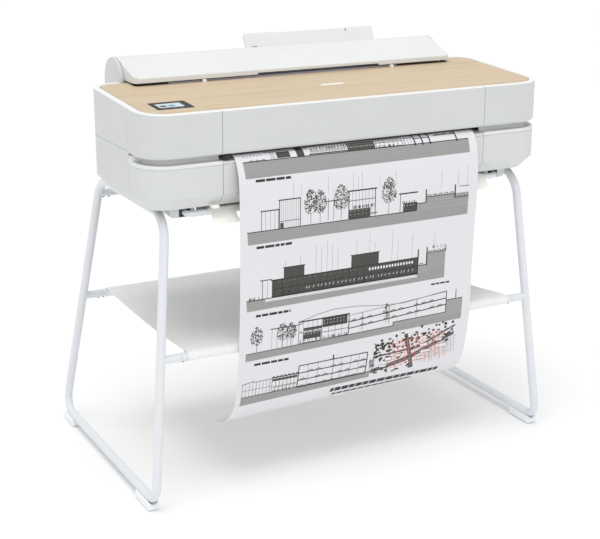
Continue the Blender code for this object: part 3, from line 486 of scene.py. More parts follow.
def modify(obj, kind, **settings):
    """Add a modifier to an object."""
    mod = obj.modifiers.new(kind.lower(), kind)
    for key, value in settings.items():
        setattr(mod, key, value)


def bake(obj):
    """Apply every modifier of an object."""
    graph = bpy.context.evaluated_depsgraph_get()
    mesh = bpy.data.meshes.new_from_object(obj.evaluated_get(graph))
    obj.modifiers.clear()
    old = obj.data
    obj.data = mesh
    mesh.name = obj.name
    bpy.data.meshes.remove(old)


def soften(obj, width, segments=2, angle=32):
    """Round the sharp edges."""
    modify(obj, "BEVEL", width=width, segments=segments, limit_method="ANGLE", angle_limit=math.radians(angle))
    bake(obj)
    return obj


def smooth(obj, angle=32, weighted=True):
    obj.data.shade_smooth()
    obj.data.set_sharp_from_angle(angle=math.radians(angle))
    if weighted:
        modify(obj, "WEIGHTED_NORMAL", keep_sharp=True)
    return obj


def place(obj, body, stands_for=()):
    """Hand a finished piece to the frame."""
    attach(obj, body)
    if stands_for:
        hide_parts(*stands_for)
    return obj


def loft(name, rings, look, closed=False):
    """Skin a row of equal rings; ends are capped unless the row closes."""
    n = len(rings[0])
    verts = [p for ring in rings for p in ring]
    faces = []
    for i in range(len(rings) if closed else len(rings) - 1):
        j = (i + 1) % len(rings)
        for k in range(n):
            m = (k + 1) % n
            faces.append((i * n + k, i * n + m, j * n + m, j * n + k))
    if not closed:
        faces += [range(n), range(len(verts) - n, len(verts))]
    return build(name, verts, faces, look)


def prism_x(name, outline, x0, x1, look):
    return loft(name, [[(x, y, z) for y, z in outline] for x in (x0, x1)], look)


def prism_z(name, outline, z0, z1, look):
    """Outline in (x, y); z0 and z1 may be functions of y."""
    rings = []
    for z in (z0, z1):
        rings.append([(x, y, z(y) if callable(z) else z) for x, y in outline])
    return loft(name, rings, look)


def block(name, low, high, look, bevel=0.0, segments=3):
    x0, y0, z0 = low
    x1, y1, z1 = high
    obj = prism_z(name, [(x0, y0), (x1, y0), (x1, y1), (x0, y1)], z0, z1, look)
    return soften(obj, bevel, segments) if bevel else obj


def combine(obj, other, operation):
    """Boolean with another object, which is used up."""
    modify(obj, "BOOLEAN", operation=operation, solver="EXACT", object=other)
    bake(obj)
    bpy.data.objects.remove(other, do_unlink=True)
    clean(obj.data, 0.00001)
    return obj


def cut(obj, other):
    return combine(obj, other, "DIFFERENCE")


def carve(obj, low, high, bevel=0.0, segments=3):
    """Take a block away."""
    return cut(obj, block("gap", low, high, None, bevel, segments))


def merge(name, parts):
    """Several finished meshes as one object; they keep their materials."""
    out = parts[0]
    bm = bmesh.new()
    slots = []
    for part in parts:
        mats = list(part.data.materials)
        slots += [m for m in mats if m not in slots]
        first = len(bm.faces)
        bm.from_mesh(part.data)
        bm.faces.ensure_lookup_table()
        for face in bm.faces[first:] if mats else ():
            face.material_index = slots.index(mats[face.material_index])
    mesh = bpy.data.meshes.new(name)
    bm.to_mesh(mesh)
    bm.free()
    for m in slots:
        mesh.materials.append(m)
    for part in parts[1:]:
        bpy.data.objects.remove(part, do_unlink=True)
    out.data = mesh
    out.name = name
    return out


def arc(cy, cz, r, a0, a1, steps):
    angles = [math.radians(a0 + (a1 - a0) * i / steps) for i in range(steps + 1)]
    return [(cy + r * math.cos(a), cz + r * math.sin(a)) for a in angles]


def circle(cx, cy, r, steps):
    return arc(cx, cy, r, 0, 360, steps)[:-1]


def lathe_x(name, profile, cy, cz, look, segments=64, hollow=False):
    """Turned body about a line along X; profile is (x, radius), a loop if hollow."""
    across = [[(x, y, z) for y, z in circle(cy, cz, r, segments)] for x, r in profile]
    if hollow:
        return loft(name, list(zip(*across)), look, closed=True)
    return loft(name, across, look)


def round_corner(before, at, after, r, steps):
    """The arc that rounds the corner of a line that runs from before over at to after."""
    to_a, to_b = (before - at).normalized(), (after - at).normalized()
    half = to_a.angle(to_b) / 2
    centre = at + (to_a + to_b).normalized() * (r / math.sin(half))
    start, end = (at + way * (r / math.tan(half)) - centre for way in (to_a, to_b))
    axis = start.cross(end).normalized()
    return [centre + Matrix.Rotation(start.angle(end) * k / steps, 3, axis) @ start for k in range(steps + 1)]


def fillet(points, steps=5):
    """Outline with round corners: points are (a, b, radius)."""
    spots = [Vector((a, b, 0.0)) for a, b, r in points]
    out = []
    for i, (a, b, r) in enumerate(points):
        after = spots[(i + 1) % len(spots)]
        out += [q[:2] for q in round_corner(spots[i - 1], spots[i], after, r, steps)] if r else [(a, b)]
    return out


def rounded_path(points, radii, steps):
    """Polyline through points with arcs of the given radii at inner points."""
    spots = [Vector(p) for p in points]
    path = [spots[0]]
    for i, r in enumerate(radii):
        path += round_corner(*spots[i:i + 3], r, steps)
    return path + [spots[-1]]


def tube(name, path, normal, look, radius, segments=28):
    """Round rod along a flat path."""
    side = Vector(normal).normalized()
    rings = []
    for i, p in enumerate(path):
        ways = [(b - a).normalized() for a, b in zip(path[max(i - 1, 0):], path[max(i, 1):i + 2])]
        up = side.cross(sum(ways, Vector()).normalized()).normalized()
        rings.append([p + side * a + up * b for a, b in circle(0, 0, radius, segments)])
    return loft(name, rings, look)


# ---------------------------------------------------------------- body covers
def corner(cx, cy, r, a0, a1, steps):
    """Stations (x, y, nx, ny) along a plan corner; angles in degrees from +X."""
    return [(cx + r * nx, cy + r * ny, nx, ny) for nx, ny in arc(0.0, 0.0, 1.0, a0, a1, steps)]


def mirrored(rows, sign):
    """Stations of the left side, taken to the side that sign says."""
    return [(-sign * x, y, -sign * nx, ny) for x, y, nx, ny in rows]


def front_corner_stations(sign):
    rows = [(-SEAM_X - SEAM_GAP / 2, FRONT, 0.0, -1.0)]
    rows += corner(-HALF_W + R_FRONT, FRONT + R_FRONT, R_FRONT, 270, 180, 26)
    rows.append((-HALF_W, SEAM_Y - GAP / 2, -1.0, 0.0))
    return mirrored(rows, sign)


def side_stations(sign):
    rows = [(-HALF_W, SEAM_Y + GAP / 2, -1.0, 0.0)]
    rows += corner(-HALF_W + R_REAR, REAR - R_REAR, R_REAR, 180, 90, 20)
    rows.append((-0.434, REAR, 0.0, 1.0))
    return mirrored(rows, sign)


CENTRE_STATIONS = [(x, FRONT, 0.0, -1.0) for x in (-SEAM_X + SEAM_GAP / 2, SEAM_X - SEAM_GAP / 2)]
TOP_BASE = TOP_FRONT - 0.020     # profile points above this height follow the sloping top


def band(name, stations, profile, look, bevel=0.0006):
    """Sweep a closed (inset, z) profile along plan stations."""
    rings = []
    for x, y, nx, ny in stations:
        ring = []
        for inset, z in profile:
            py = y - ny * inset
            lift = top_z(py) - TOP_FRONT if z > TOP_BASE else 0.0
            ring.append((x - nx * inset, py, z + lift))
        rings.append(ring)
    obj = soften(loft(name, rings, look), bevel, 2, 40)
    # faces that look up get the lighter white: painted highlight on the top of the covers
    if look == "cover_white":
        obj.data.materials.append(LOOKS["rim_white"].mat)
        for face in obj.data.polygons:
            face.material_index = int(face.normal.z > 0.5 and face.center.z > TOP_BASE)
    return smooth(obj)


# stretches of the covers' profiles: (inset, z, radius of the corner)
RIM = [
    (0.0, TOP_FRONT, 0.0028),
    (RIM_W, TOP_FRONT, 0.0005),
    (RIM_W, TOP_FRONT - 0.003, 0.0),
    (WALL, TOP_FRONT - 0.003, 0.0),
]
FOOT = [
    (CHAMFER_IN + 0.004, BOTTOM_Z + 0.0012, 0.0),
    (CHAMFER_IN + 0.004, BOTTOM_Z, 0.0),
    (CHAMFER_IN, BOTTOM_Z, 0.0012),
    (0.0, CHAMFER_Z, 0.0045),
]
INNER_CHAMFER = (WALL, CHAMFER_Z + 0.0016, 0.0)
PARTING = [(0.0, PARTING_Z - GAP, 0.0009), (WALL, PARTING_Z - GAP, 0.0)]
SIDE_GROOVE = [
    (0.0, GROOVE_Z - 0.0011, 0.0005),
    (0.0013, GROOVE_Z - 0.0006, 0.0),
    (0.0013, GROOVE_Z + 0.0006, 0.0),
    (0.0, GROOVE_Z + 0.0011, 0.0005),
]
OUTPUT_RAMP = [
    (WALL, PARTING_Z, 0.0),
    (0.0, PARTING_Z, 0.0008),
    (0.0, PARTING_Z + 0.0060, 0.0040),
    (0.0420, PARTING_Z + 0.0096, 0.0),
    (0.0420, PARTING_Z + 0.0066, 0.0),
    (WALL + 0.004, PARTING_Z + 0.0036, 0.0),
]
WAIST_OPEN = [
    (WALL, PARTING_Z, 0.0),
    (0.0, PARTING_Z, 0.0008),
    (0.0, LIP_TOP, 0.0040),
    (0.0190, LIP_TOP - 0.0015, 0.0020),
    (0.0205, LIP_TOP, 0.0010),
    (0.0205, UPPER_BOTTOM - 0.0005, 0.0),
    (0.0235, UPPER_BOTTOM - 0.0005, 0.0),
    (0.0235, LIP_TOP - 0.0045, 0.0),
    (WALL, LIP_TOP - 0.0045, 0.0),
]
# the same points where the recess has run out, next to the side panel
WAIST_CLOSED = [
    (WALL, PARTING_Z, 0.0),
    (0.0, PARTING_Z, 0.0008),
    (0.0001, LIP_TOP - 0.0010, 0.0008),
    (0.0004, LIP_TOP + 0.0040, 0.0008),
    (0.0006, LIP_TOP + 0.0070, 0.0008),
    (0.0010, UPPER_BOTTOM - 0.0005, 0.0),
    (0.0040, UPPER_BOTTOM - 0.0005, 0.0),
    (0.0040, LIP_TOP - 0.0045, 0.0),
    (WALL, LIP_TOP - 0.0045, 0.0),
]


def upper_profile():
    quarter = [math.radians(90 * i / 8) for i in range(8, -1, -1)]
    edge = [(0.010 - 0.010 * math.cos(t), UPPER_BOTTOM + 0.009 - 0.009 * math.sin(t)) for t in quarter]
    body = fillet([(0.0, UPPER_BOTTOM + 0.02, 0.0)] + RIM + [(WALL, UPPER_BOTTOM + 0.0105, 0.0)])
    return [(0.0115, UPPER_BOTTOM + 0.0028)] + edge + body[1:]


def waist_band(name, sign):
    """Lip and recess round a front corner; the recess runs out at the side panel."""
    stations = front_corner_stations(sign)
    (x, bend, nx, ny), (x, seam, nx, ny) = stations[-2:]
    rows = [(*row, 1.0) for row in stations[:-1]]
    for k in range(1, 17):
        share = k / 16
        rows.append((x, bend + (seam - bend) * share, nx, ny, 0.5 + 0.5 * math.cos(math.pi * share)))
    rings = []
    for x, y, nx, ny, depth in rows:
        mixed = []
        for shut, wide in zip(WAIST_CLOSED, WAIST_OPEN):
            mixed.append(tuple(a + (b - a) * depth for a, b in zip(shut, wide)))
        rings.append([(x - nx * inset, y - ny * inset, z) for inset, z in fillet(mixed)])
    # the recess gets the lighter white, which paints light into its shade
    return smooth(soften(loft(name, rings, "recess_white"), 0.0004, 2, 50))


def make_covers():
    upper = upper_profile()
    lower = fillet(FOOT + PARTING + [INNER_CHAMFER])
    side = fillet(FOOT + SIDE_GROOVE + RIM + [INNER_CHAMFER])
    for word, sign in SIDES:
        for node, stations, profile in (("upper_" + word + "_corner", front_corner_stations(sign), upper),
                                        (word + "_side_panel", side_stations(sign), side)):
            place(band(node + "_shell", stations, profile, "cover_white"), "machine", [node])
        node = word + "_waist"
        place(waist_band(node + "_band", sign), "machine", [node])
    left, right = (front_corner_stations(sign) for word, sign in SIDES)
    for name, stations, profile, look, body, node in (
            ("lower_left_shell", left, lower, "lower_white", "machine", "lower_left_corner"),
            ("ink_door_shell", right, lower, "lower_white", "ink_door", "ink_door"),
            ("lower_centre_shell", CENTRE_STATIONS, lower, "lower_white", "machine", "lower_centre_panel"),
            ("output_ramp", CENTRE_STATIONS, fillet(OUTPUT_RAMP), "cover_white", "machine", "output_lip"),
            ("front_cover_shell", CENTRE_STATIONS, upper, "cover_white", "front_cover", "front_cover")):
        place(band(name, stations, profile, look), body, [node])


# ---------------------------------------------------------------- wood top and screen
def inset_outline(inset, notch_y, notch_x):
    """Plan outline of the top, inset from the rim, notched for the roll cover."""
    rows = corner(HALF_W - R_FRONT, FRONT + R_FRONT, R_FRONT - inset, 270, 360, 22)
    rows += corner(HALF_W - R_REAR, REAR - R_REAR, R_REAR - inset, 0, 90, 18)
    right = [row[:2] for row in rows] + [(notch_x, REAR - inset), (notch_x, notch_y)]
    return right + [(-x, y) for x, y in reversed(right)]


def slab(name, xs, ys, low, high, look, radius=0.0, grow=0.0):
    """Rounded plate lying in the sloping top surface; low and high are above it."""
    x0, x1 = xs[0] - grow, xs[1] + grow
    y0, y1 = ys[0] - grow, ys[1] + grow
    r = max(radius + grow, 0.0003)
    outline = []
    for cx, cy, a in ((x1 - r, y0 + r, 270), (x1 - r, y1 - r, 0), (x0 + r, y1 - r, 90), (x0 + r, y0 + r, 180)):
        outline += arc(cx, cy, r, a, a + 90, 6)
    return prism_z(name, outline, lambda y: top_z(y) + low, lambda y: top_z(y) + high, look)


def make_top():
    outline = inset_outline(RIM_W + 0.0011, LIP_Y + 0.008, COVER_X - 0.004)
    wood = prism_z("wood_panel", outline, lambda y: top_z(y) - 0.004, top_z, "wood")
    cut(wood, slab("hole", *SCREEN, -0.02, 0.02, None, 0.003, GAP))
    place(smooth(soften(wood, 0.0004, 2, 50)), "machine", ["wood_top"])
    bezel = slab("screen_frame", *SCREEN, -0.0035, 0.0002, "bezel", 0.003)
    cut(bezel, slab("hole", *DISPLAY, -0.0016, 0.02, None, 0.001, 0.0003))
    place(smooth(soften(bezel, 0.0002, 2, 50)), "machine", ["touchscreen_bezel"])
    panel = slab("screen_glass", *DISPLAY, -0.0012, 0.0000, "screen", 0.001)
    place(smooth(panel), "machine", ["touchscreen_display"])
    for name, x, look in (("left", -0.4380, "tile_green"), ("right", -0.4190, "tile_blue")):
        xs, ys = (x, x + 0.0145), (-0.1265, -0.1120)
        place(smooth(slab("screen_tile_" + name, xs, ys, 0.00002, 0.00010, look, 0.0010)), "machine")
    for i, x in enumerate((-0.4370, -0.4150, -0.4000)):
        xs, ys = (x, x + 0.004), (-0.1425, -0.1410)
        mark = slab("screen_mark_%d" % i, xs, ys, 0.00021, 0.00028, "cover_white", 0.0006)
        place(smooth(mark), "machine")
    badge = slab("plain_badge", (-0.016, 0.042), (-0.0560, -0.0440), 0.00004, 0.00030, "badge", 0.0040)
    place(smooth(soften(badge, 0.0001, 1, 50)), "machine")


# ---------------------------------------------------------------- roll cover and its end caps
def tangent_angle(y, z, r):
    """Angle on the roll cover's circle where a line from (y, z) touches it."""
    dy, dz = y - ROLL_Y, z - ROLL_Z
    return math.degrees(math.atan2(dz, dy)) - math.degrees(math.acos(r / math.hypot(dy, dz)))


def round_lip(obj, wall):
    """Round the two plan corners of the lip; wall is how far the faces are set in."""
    for sign in (-1, 1):
        cx, cy = sign * (COVER_X - LIP_CORNER_R), LIP_Y + LIP_CORNER_R
        past_x, past_y = sign * (COVER_X + 0.01), LIP_Y - 0.01
        outline = arc(cx, cy, LIP_CORNER_R - wall, 270, 270 + 90 * sign, 16)
        outline += [(past_x, cy), (past_x, past_y), (cx, past_y)]
        cut(obj, prism_z("corner_cut", outline, 0.87, 0.93, "cover_top"))


def make_roll_cover():
    """Outer body with the lip, minus the hollow that follows the paper roll."""
    outer_a = tangent_angle(LIP_Y + 0.002, LIP_TOP_Z, COVER_R)
    inner_r = COVER_R - WALL
    inner_a = tangent_angle(LIP_Y + WALL, LIP_TOP_Z - 0.0032, inner_r)
    low_a = 180 - math.degrees(math.asin((LIP_BOTTOM_Z - ROLL_Z) / inner_r))
    shell = arc(LIP_Y + 0.0014, LIP_BOTTOM_Z + 0.0014, 0.0014, 270, 180, 5)
    shell += arc(LIP_Y + 0.0036, LIP_TOP_Z - 0.0036, 0.0036, 180, 100, 8)
    shell += arc(ROLL_Y, ROLL_Z, COVER_R, outer_a, 18, 40)
    shell += arc(ROLL_Y, ROLL_Z, inner_r, 18, low_a, 44)
    hollow = [(LIP_Y + WALL, LIP_BOTTOM_Z - 0.01), (LIP_Y + WALL, LIP_TOP_Z - 0.0042)]
    hollow += arc(ROLL_Y, ROLL_Z, inner_r - 0.0003, inner_a, low_a, 12)
    hollow.append((ROLL_Y - inner_r + 0.001, LIP_BOTTOM_Z - 0.01))
    cover = prism_x("roll_cover_shell", shell, -COVER_X, COVER_X, "cover_top")
    round_lip(cover, 0.0)
    inside = prism_x("inside", hollow, -COVER_X + WALL, COVER_X - WALL, "cover_top")
    round_lip(inside, WALL)
    cut(cover, inside)
    carve(cover, (-0.115, 0.06, 0.880), (0.210, LIP_Y + 0.012, LIP_BOTTOM_Z + 0.0042))
    place(smooth(soften(cover, 0.0012, 3, 30), 40), "roll_cover", ["roll_cover"])


def make_end_caps():
    base = 0.8286
    hub_r = COVER_R - 0.0040
    plate = arc(ROLL_Y, ROLL_Z, COVER_R, 0, 180, 44) + [(ROLL_Y - COVER_R, base), (ROLL_Y + COVER_R, base)]
    hub = arc(ROLL_Y, ROLL_Z, hub_r, -60, 180, 48) + [(ROLL_Y - hub_r, base), (ROLL_Y + hub_r * 0.5, base)]
    for side, sign in SIDES:
        name = side + "_cradle_cap"
        cap = prism_x(name, plate, *span(sign, COVER_X + 0.0004, COVER_X + 0.0080), "cover_white")
        soften(cap, 0.0018, 4, 40)
        combine(cap, prism_x("hub", hub, *span(sign, 0.3985, COVER_X + 0.003), "cover_white"), "UNION")
        bore = [(x, 0.0102) for x in span(sign, 0.39, 0.4105)]
        cut(cap, lathe_x("bore", bore, ROLL_Y, ROLL_Z, "cover_white"))
        place(smooth(cap, 30), "machine", [side + "_end_cap"])


def make_cover_tabs():
    """Two small catches, and under the roll cover's lip a plate in the violet grey of the shaded paper roll
    (painted shade) with black ends (painted shadow).
    """
    for i, x in enumerate((-0.2565, 0.2400)):
        low, high = (x, 0.0655, top_z(0.0655) + 0.0001), (x + 0.0085, 0.0725, LIP_BOTTOM_Z - 0.0006)
        place(smooth(block("lid_catch_%d" % (i + 1), low, high, "cream", 0.0007, 2)), "machine")
    # the plate's violet grey stands in for the shaded paper roll seen under the lip: painted shade
    guard = block("guard", (-0.3350, 0.0830, 0.8720), (0.2680, 0.0848, 0.8896), "guard", 0.0006, 2)
    rail = block("rail", (-0.1250, 0.0790, 0.8728), (0.1350, 0.0826, 0.8878), "guard", 0.0010, 2)
    # black blocks beyond the ends of the roll: painted shadow where the gap under the lip is dark
    ends = [block("end", (x0, 0.0832, 0.8740), (x1, 0.0846, 0.8900), "black_plastic", 0.0004, 2)
            for x0, x1 in ((-0.4100, -0.3360), (0.2690, 0.4100))]
    place(smooth(merge("roll_guard_shade_plate", [guard, rail])), "machine")
    place(smooth(merge("roll_guard_shadow_ends", ends)), "machine")


# ---------------------------------------------------------------- stand
def leg_x(z):
    return LEG_X_BOTTOM + (LEG_X_TOP - LEG_X_BOTTOM) * (z - RAIL_Z) / (LEG_TOP_Z - RAIL_Z)


def front_leg_y(z):
    return -0.171 + 0.0869 * (z - 0.602)


def rear_leg_y(z):
    return 0.270 - 0.258 * (z - 0.491)


BARS = {
    "lower_front_bar": (front_leg_y(LOW_BAR_Z), LOW_BAR_Z),
    "lower_rear_bar": (rear_leg_y(LOW_BAR_Z), LOW_BAR_Z),
    "upper_rear_bar": (rear_leg_y(HIGH_BAR_Z), HIGH_BAR_Z),
}


def bar_stub(sign, y, z):
    """The short tube welded to a leg, which a cross tube plugs into, and its weld."""
    inner, outer = BAR_END, leg_x(z) - 0.0040
    low = BAR_R - 0.0006
    profile = [(inner, low), (inner + 0.0005, BAR_R), (outer - 0.0005, BAR_R), (outer, low)]
    middle = leg_x(z) - TUBE_R + 0.0012
    bead = [(middle + 0.0016 * a, BAR_R - 0.0004 + 0.0012 * b) for a, b in arc(0, 0, 1.0, 180, 0, 8)]
    parts = []
    for points, angle in ((profile, 40), (bead, 60)):
        turned = [(sign * x, r) for x, r in points]
        parts.append(smooth(lathe_x("stub", turned, y, z, "tube_white", 36), angle, False))
    return parts


def make_side_frames():
    seam = 0.06
    for side, sign in SIDES:
        spots = [(seam - 0.0005, LEG_TOP_Z), (front_leg_y(LEG_TOP_Z), LEG_TOP_Z), (front_leg_y(RAIL_Z), RAIL_Z),
                 (rear_leg_y(RAIL_Z), RAIL_Z), (rear_leg_y(LEG_TOP_Z), LEG_TOP_Z), (seam + 0.0005, LEG_TOP_Z)]
        loop = [Vector((sign * leg_x(z), y, z)) for y, z in spots]
        path = rounded_path(loop, [0.060, 0.034, 0.040, 0.060], 14)
        across = (loop[1] - loop[2]).cross(loop[3] - loop[2])
        parts = [smooth(tube(side + "_loop_tube", path, across, "tube_white", TUBE_R, 36), 40, False)]
        for y, z in BARS.values():
            parts += bar_stub(sign, y, z)
        place(merge(side + "_stand_loop", parts), "machine", [side + "_side_frame"])


def make_bars():
    end = BAR_END - GAP
    half = [(end - 0.0005, BAR_R), (end, BAR_R - 0.0005), (end, BAR_R - 0.0015)]
    profile = [(-x, r) for x, r in reversed(half)] + half
    for name, (y, z) in BARS.items():
        bar = lathe_x(name + "_tube", profile, y, z, "tube_white", 36, hollow=True)
        place(smooth(bar, 40, False), "machine", [name])


def make_screws():
    """The four screws that hold the lower tubes, and some that the CAD doesn't have."""
    kinds = {
        "stand_screw_": [("lower_front_bar", (0.4310,)), ("lower_rear_bar", (0.4310,))],
        "bar_screw_": [("lower_rear_bar", (0.4445,)), ("upper_rear_bar", (0.4310, 0.4445))],
    }
    for kind, bars in kinds.items():
        spots = [(sign * x, *BARS[bar]) for bar, xs in bars for sign in (-1, 1) for x in xs]
        for i, (x, y, z) in enumerate(spots):
            node = kind + str(i + 1)
            if kind == "stand_screw_":
                place(screw_head(node + "_head", x, y, z - BAR_R), "machine", [node])
            else:
                place(screw_head(node, x, y, z - BAR_R), "machine")


def screw_head(name, x, y, z, radius=0.0030, height=0.0026):
    """Button head with a hexagon socket, facing down, its seat at height z."""
    rings = []
    head = ((1.0, 0.0003), (1.0, -0.0008), (0.86, -0.0018), (0.60, 0.0001 - height), (0.50, -height))
    for share, dz in head:
        rings.append([(u, v, z + dz) for u, v in circle(x, y, radius * share, 24)])
    for share, dz in ((0.44, 0.0001 - height), (0.42, 0.0014 - height)):
        ring = []
        for k in range(24):
            angle = math.radians(15 * k)
            # the radius of a hexagon at this angle
            r = radius * share * 0.95 / math.cos(angle % math.radians(60) - math.radians(30))
            ring.append((x + r * math.cos(angle), y + r * math.sin(angle), z + dz))
        rings.append(ring)
    return smooth(loft(name, rings, "screw"), 40, False)


def make_feet():
    """Plastic feet, each with a rubber shoe and a groove that leaves room for the floor rail."""
    for end, y0, y1 in (("front", -0.2076, -0.1270), ("rear", 0.3050, 0.3780)):
        for side, sign in SIDES:
            x = sign * LEG_X_BOTTOM
            x0, x1 = span(sign, 0.5015, 0.5278)
            # the feet's white is lightened to offset the shade near the floor: painted light
            foot = block("foot", (x0, y0, 0.0008), (x1, y1, FOOT_TOP), "foot_white", 0.0030, 5)
            groove = arc(x, RAIL_Z, SADDLE_R, 180, 360, 24)
            groove += [(x + SADDLE_R, RAIL_Z + 0.02), (x - SADDLE_R, RAIL_Z + 0.02)]
            rings = [[(u, y, z) for u, z in groove] for y in (y0 - 0.01, y1 + 0.01)]
            cut(foot, loft("saddle", rings, "foot_white"))
            soften(foot, 0.0004, 2, 60)
            name = "foot_" + end + "_" + side
            inset = 0.0034
            low, high = (x0 + inset, y0 + inset, 0.0), (x1 - inset, y1 - inset, 0.0030)
            parts = [smooth(foot, 30), smooth(block(name + "_shoe", low, high, "rubber"), 30, False)]
            place(merge(name + "_pad", parts), "machine", [name])


def make_front_rail():
    ry, rz = FRONT_RAIL
    end, back = 0.400, -0.1300
    corners = [(-end, back, rz), (-end, ry, rz), (end, ry, rz), (end, back, rz)]
    path = rounded_path(corners, [0.016, 0.016], 12)
    rail = tube("front_rail_tube", path, (0, 0, 1), "tube_white", FRONT_RAIL_R, 32)
    place(smooth(rail, 40, False), "machine", ["front_rail"])
    for side, sign in SIDES:
        top, low = BOTTOM_Z - GAP, 0.6395
        # the outer end runs up into the body in a soft curve
        half = ((0.4385, top, 0.0), (0.3760, top, 0.0), (0.3760, low, 0.0030), (0.4325, low, 0.0110))
        face = fillet([(sign * x, z, r) for x, z, r in half])
        rings = [[(x, y, z) for x, z in face] for y in (-0.1480, -0.0700)]
        bracket = soften(loft(side + "_rail_bracket", rings, "lower_white"), 0.0016, 3, 40)
        x0, x1 = span(sign, 0.4130, 0.3870)
        carve(bracket, (x0, -0.160, 0.6411), (x1, -0.1240, 0.6589))
        place(smooth(bracket), "machine", [side + "_bracket"])
        x0, x1 = span(sign, 0.4126, 0.3874)
        low_end, high_end = (x0, -0.1500, 0.6414), (x1, -0.1244, 0.6586)
        plug = block(side + "_rail_plug", low_end, high_end, "black_plastic", 0.0010, 2)
        x0, x1 = span(sign, 0.4073, 0.3927)
        carve(plug, (x0, -0.160, rz - 0.0073), (x1, -0.1280, rz + 0.0073))
        place(smooth(plug), "machine", [side + "_rail_socket"])
        screw = screw_head(side + "_bracket_screw", sign * 0.3940, -0.1150, low + 0.0001, 0.0034, 0.0022)
        place(screw, "machine")


def make_flap():
    rail = Vector(FRONT_RAIL)
    tip = Vector((-0.2045, 0.6318))
    clip = arc(*rail, 0.0073, -60, 140, 28)
    clip += [(tip.x - 0.0002, tip.y - 0.0006), (tip.x - 0.0016, tip.y + 0.0006)]
    clip += arc(*rail, 0.0094, 128, -60, 28)
    flap = prism_x("output_flap_sheet", clip, -0.3540, 0.3540, "cream")
    # the leaf is full length only at its two ends
    carve(flap, (-0.2960, -0.2200, 0.6200), (0.2960, -0.1800, 0.6500), 0.0050, 4)
    parts = [smooth(soften(flap, 0.0004, 2, 50), 40)]
    # stiffening ribs on the sloping leaf
    down = (tip - rail).normalized()
    out = Vector((down.y, -down.x))
    for share in (0.62, 0.79):
        y, z = rail.lerp(tip, share) - out * 0.0056 * (1 - share)
        for x0, x1 in ((-0.3520, -0.3000), (0.3000, 0.3520)):
            rib = tube("rib", [Vector((x, y, z)) for x in (x0, x1)], (0, 0, 1), "cream", 0.0007, 10)
            parts.append(smooth(rib, 60, False))
    place(merge("output_flap_leaf", parts), "output_flap", ["output_flap"])


# ---------------------------------------------------------------- rear of the machine
def slots(obj, size, lows):
    """Cut a row of equal slots."""
    parts = [block("slot", low, [a + b for a, b in zip(low, size)], None) for low in lows]
    cut(obj, merge("slots", parts))


def make_rear():
    back = REAR_BACK
    rear = block("rear_case", (-0.430, 0.1395, 0.700), (0.430, back, 0.828), "rear_white", 0.006, 5)
    carve(rear, (-0.427, 0.100, 0.7035), (0.427, back - 0.003, 0.8245))
    for low, high, bevel in (((-0.3965, back - 0.003, 0.8262), (0.3965, back, 0.896), 0.0),
                             ((-0.066, back - 0.001, 0.8620), (0.308, back + 0.020, 0.8745), 0.0008)):
        combine(rear, block("rise", low, high, "rear_white", bevel, 2), "UNION")
    carve(rear, (-0.012, back - 0.01, 0.8785), (0.298, back + 0.001, 0.8845))
    rows = [(x, back - 0.006, 0.726 + 0.0075 * k) for x in (0.150, 0.215, 0.280, 0.345) for k in range(8)]
    slots(rear, (0.052, 0.010, 0.0032), rows)
    slots(rear, (0.0036, 0.010, 0.0150), [(-0.100 + 0.0085 * k, back - 0.006, 0.8380) for k in range(18)])
    # shallow field round the power inlet, the button's hole
    carve(rear, (-0.392, back - 0.0006, 0.716), (-0.300, back + 0.01, 0.764))
    carve(rear, (-0.3268, back - 0.006, 0.7332), (-0.3132, back + 0.01, 0.7468))
    place(smooth(soften(rear, 0.0005, 2, 40)), "machine", ["rear_housing"])
    spots = [(x, z) for z in (0.712, 0.812) for x in (-0.405, 0.405)] + [(0.0, 0.712), (0.0, 0.812)]
    for i, (x, z) in enumerate(spots):
        place(cross_screw("rear_screw_%d" % (i + 1), x, back, z), "machine")
    low, high = (-0.250, back - 0.0004, 0.722), (-0.120, back + 0.0011, 0.790)
    cover = block("service_plate", low, high, "rear_white", 0.0007, 2)
    slots(cover, (0.0100, 0.010, 0.0028), [(-0.1385, back - 0.002, 0.7300 + 0.0060 * k) for k in range(9)])
    place(smooth(cover), "machine")
    for i, x in enumerate((-0.242, -0.226)):
        low, high = (x, back + 0.0006, 0.746), (x + 0.0125, back + 0.0018, 0.7600)
        port = block("port_%d" % (i + 1), low, high, "black_plastic", 0.0005, 2)
        carve(port, (x + 0.002, back + 0.0012, 0.748), (x + 0.0105, back + 0.01, 0.758))
        place(smooth(port), "machine")


def cross_screw(name, x, y, z, radius=0.0034):
    """Pan head with a cross slot on a surface that faces +Y."""
    rings = []
    for share, out in ((1.0, -0.0006), (1.0, 0.0007), (0.86, 0.0014), (0.55, 0.0018), (0.2, 0.0019)):
        rings.append([(u, y + out, v) for u, v in circle(x, z, radius * share, 24)])
    head = loft(name, rings, "steel")
    a, b = 0.0017, 0.00042
    cross = []
    for turn in (Matrix.Rotation(math.radians(90 * k), 2) for k in range(4)):
        cross += [turn @ Vector(p) for p in ((a, b), (b, b), (b, a))]
    cut(head, loft("cross", [[(x + p, y + out, z + q) for p, q in cross] for out in (0.0007, 0.004)], None))
    return smooth(head, 40, False)


def leaning(name, box, w0, w1, top=0.0, low=0.0, look="tray_white"):
    """Plate in the tray's leaning plane: box is (x0, x1, from, to) up the tray, w is depth."""
    x0, x1, u0, u1 = box
    outline = fillet([(x0, u0, low), (x1, u0, low), (x1, u1, top), (x0, u1, top)], 6)
    c, s = math.cos(TRAY_LEAN), math.sin(TRAY_LEAN)
    rings = [[(x, TRAY_Y + u * s + w * c, TRAY_Z + u * c - w * s) for x, u in outline] for w in (w0, w1)]
    return loft(name, rings, look)


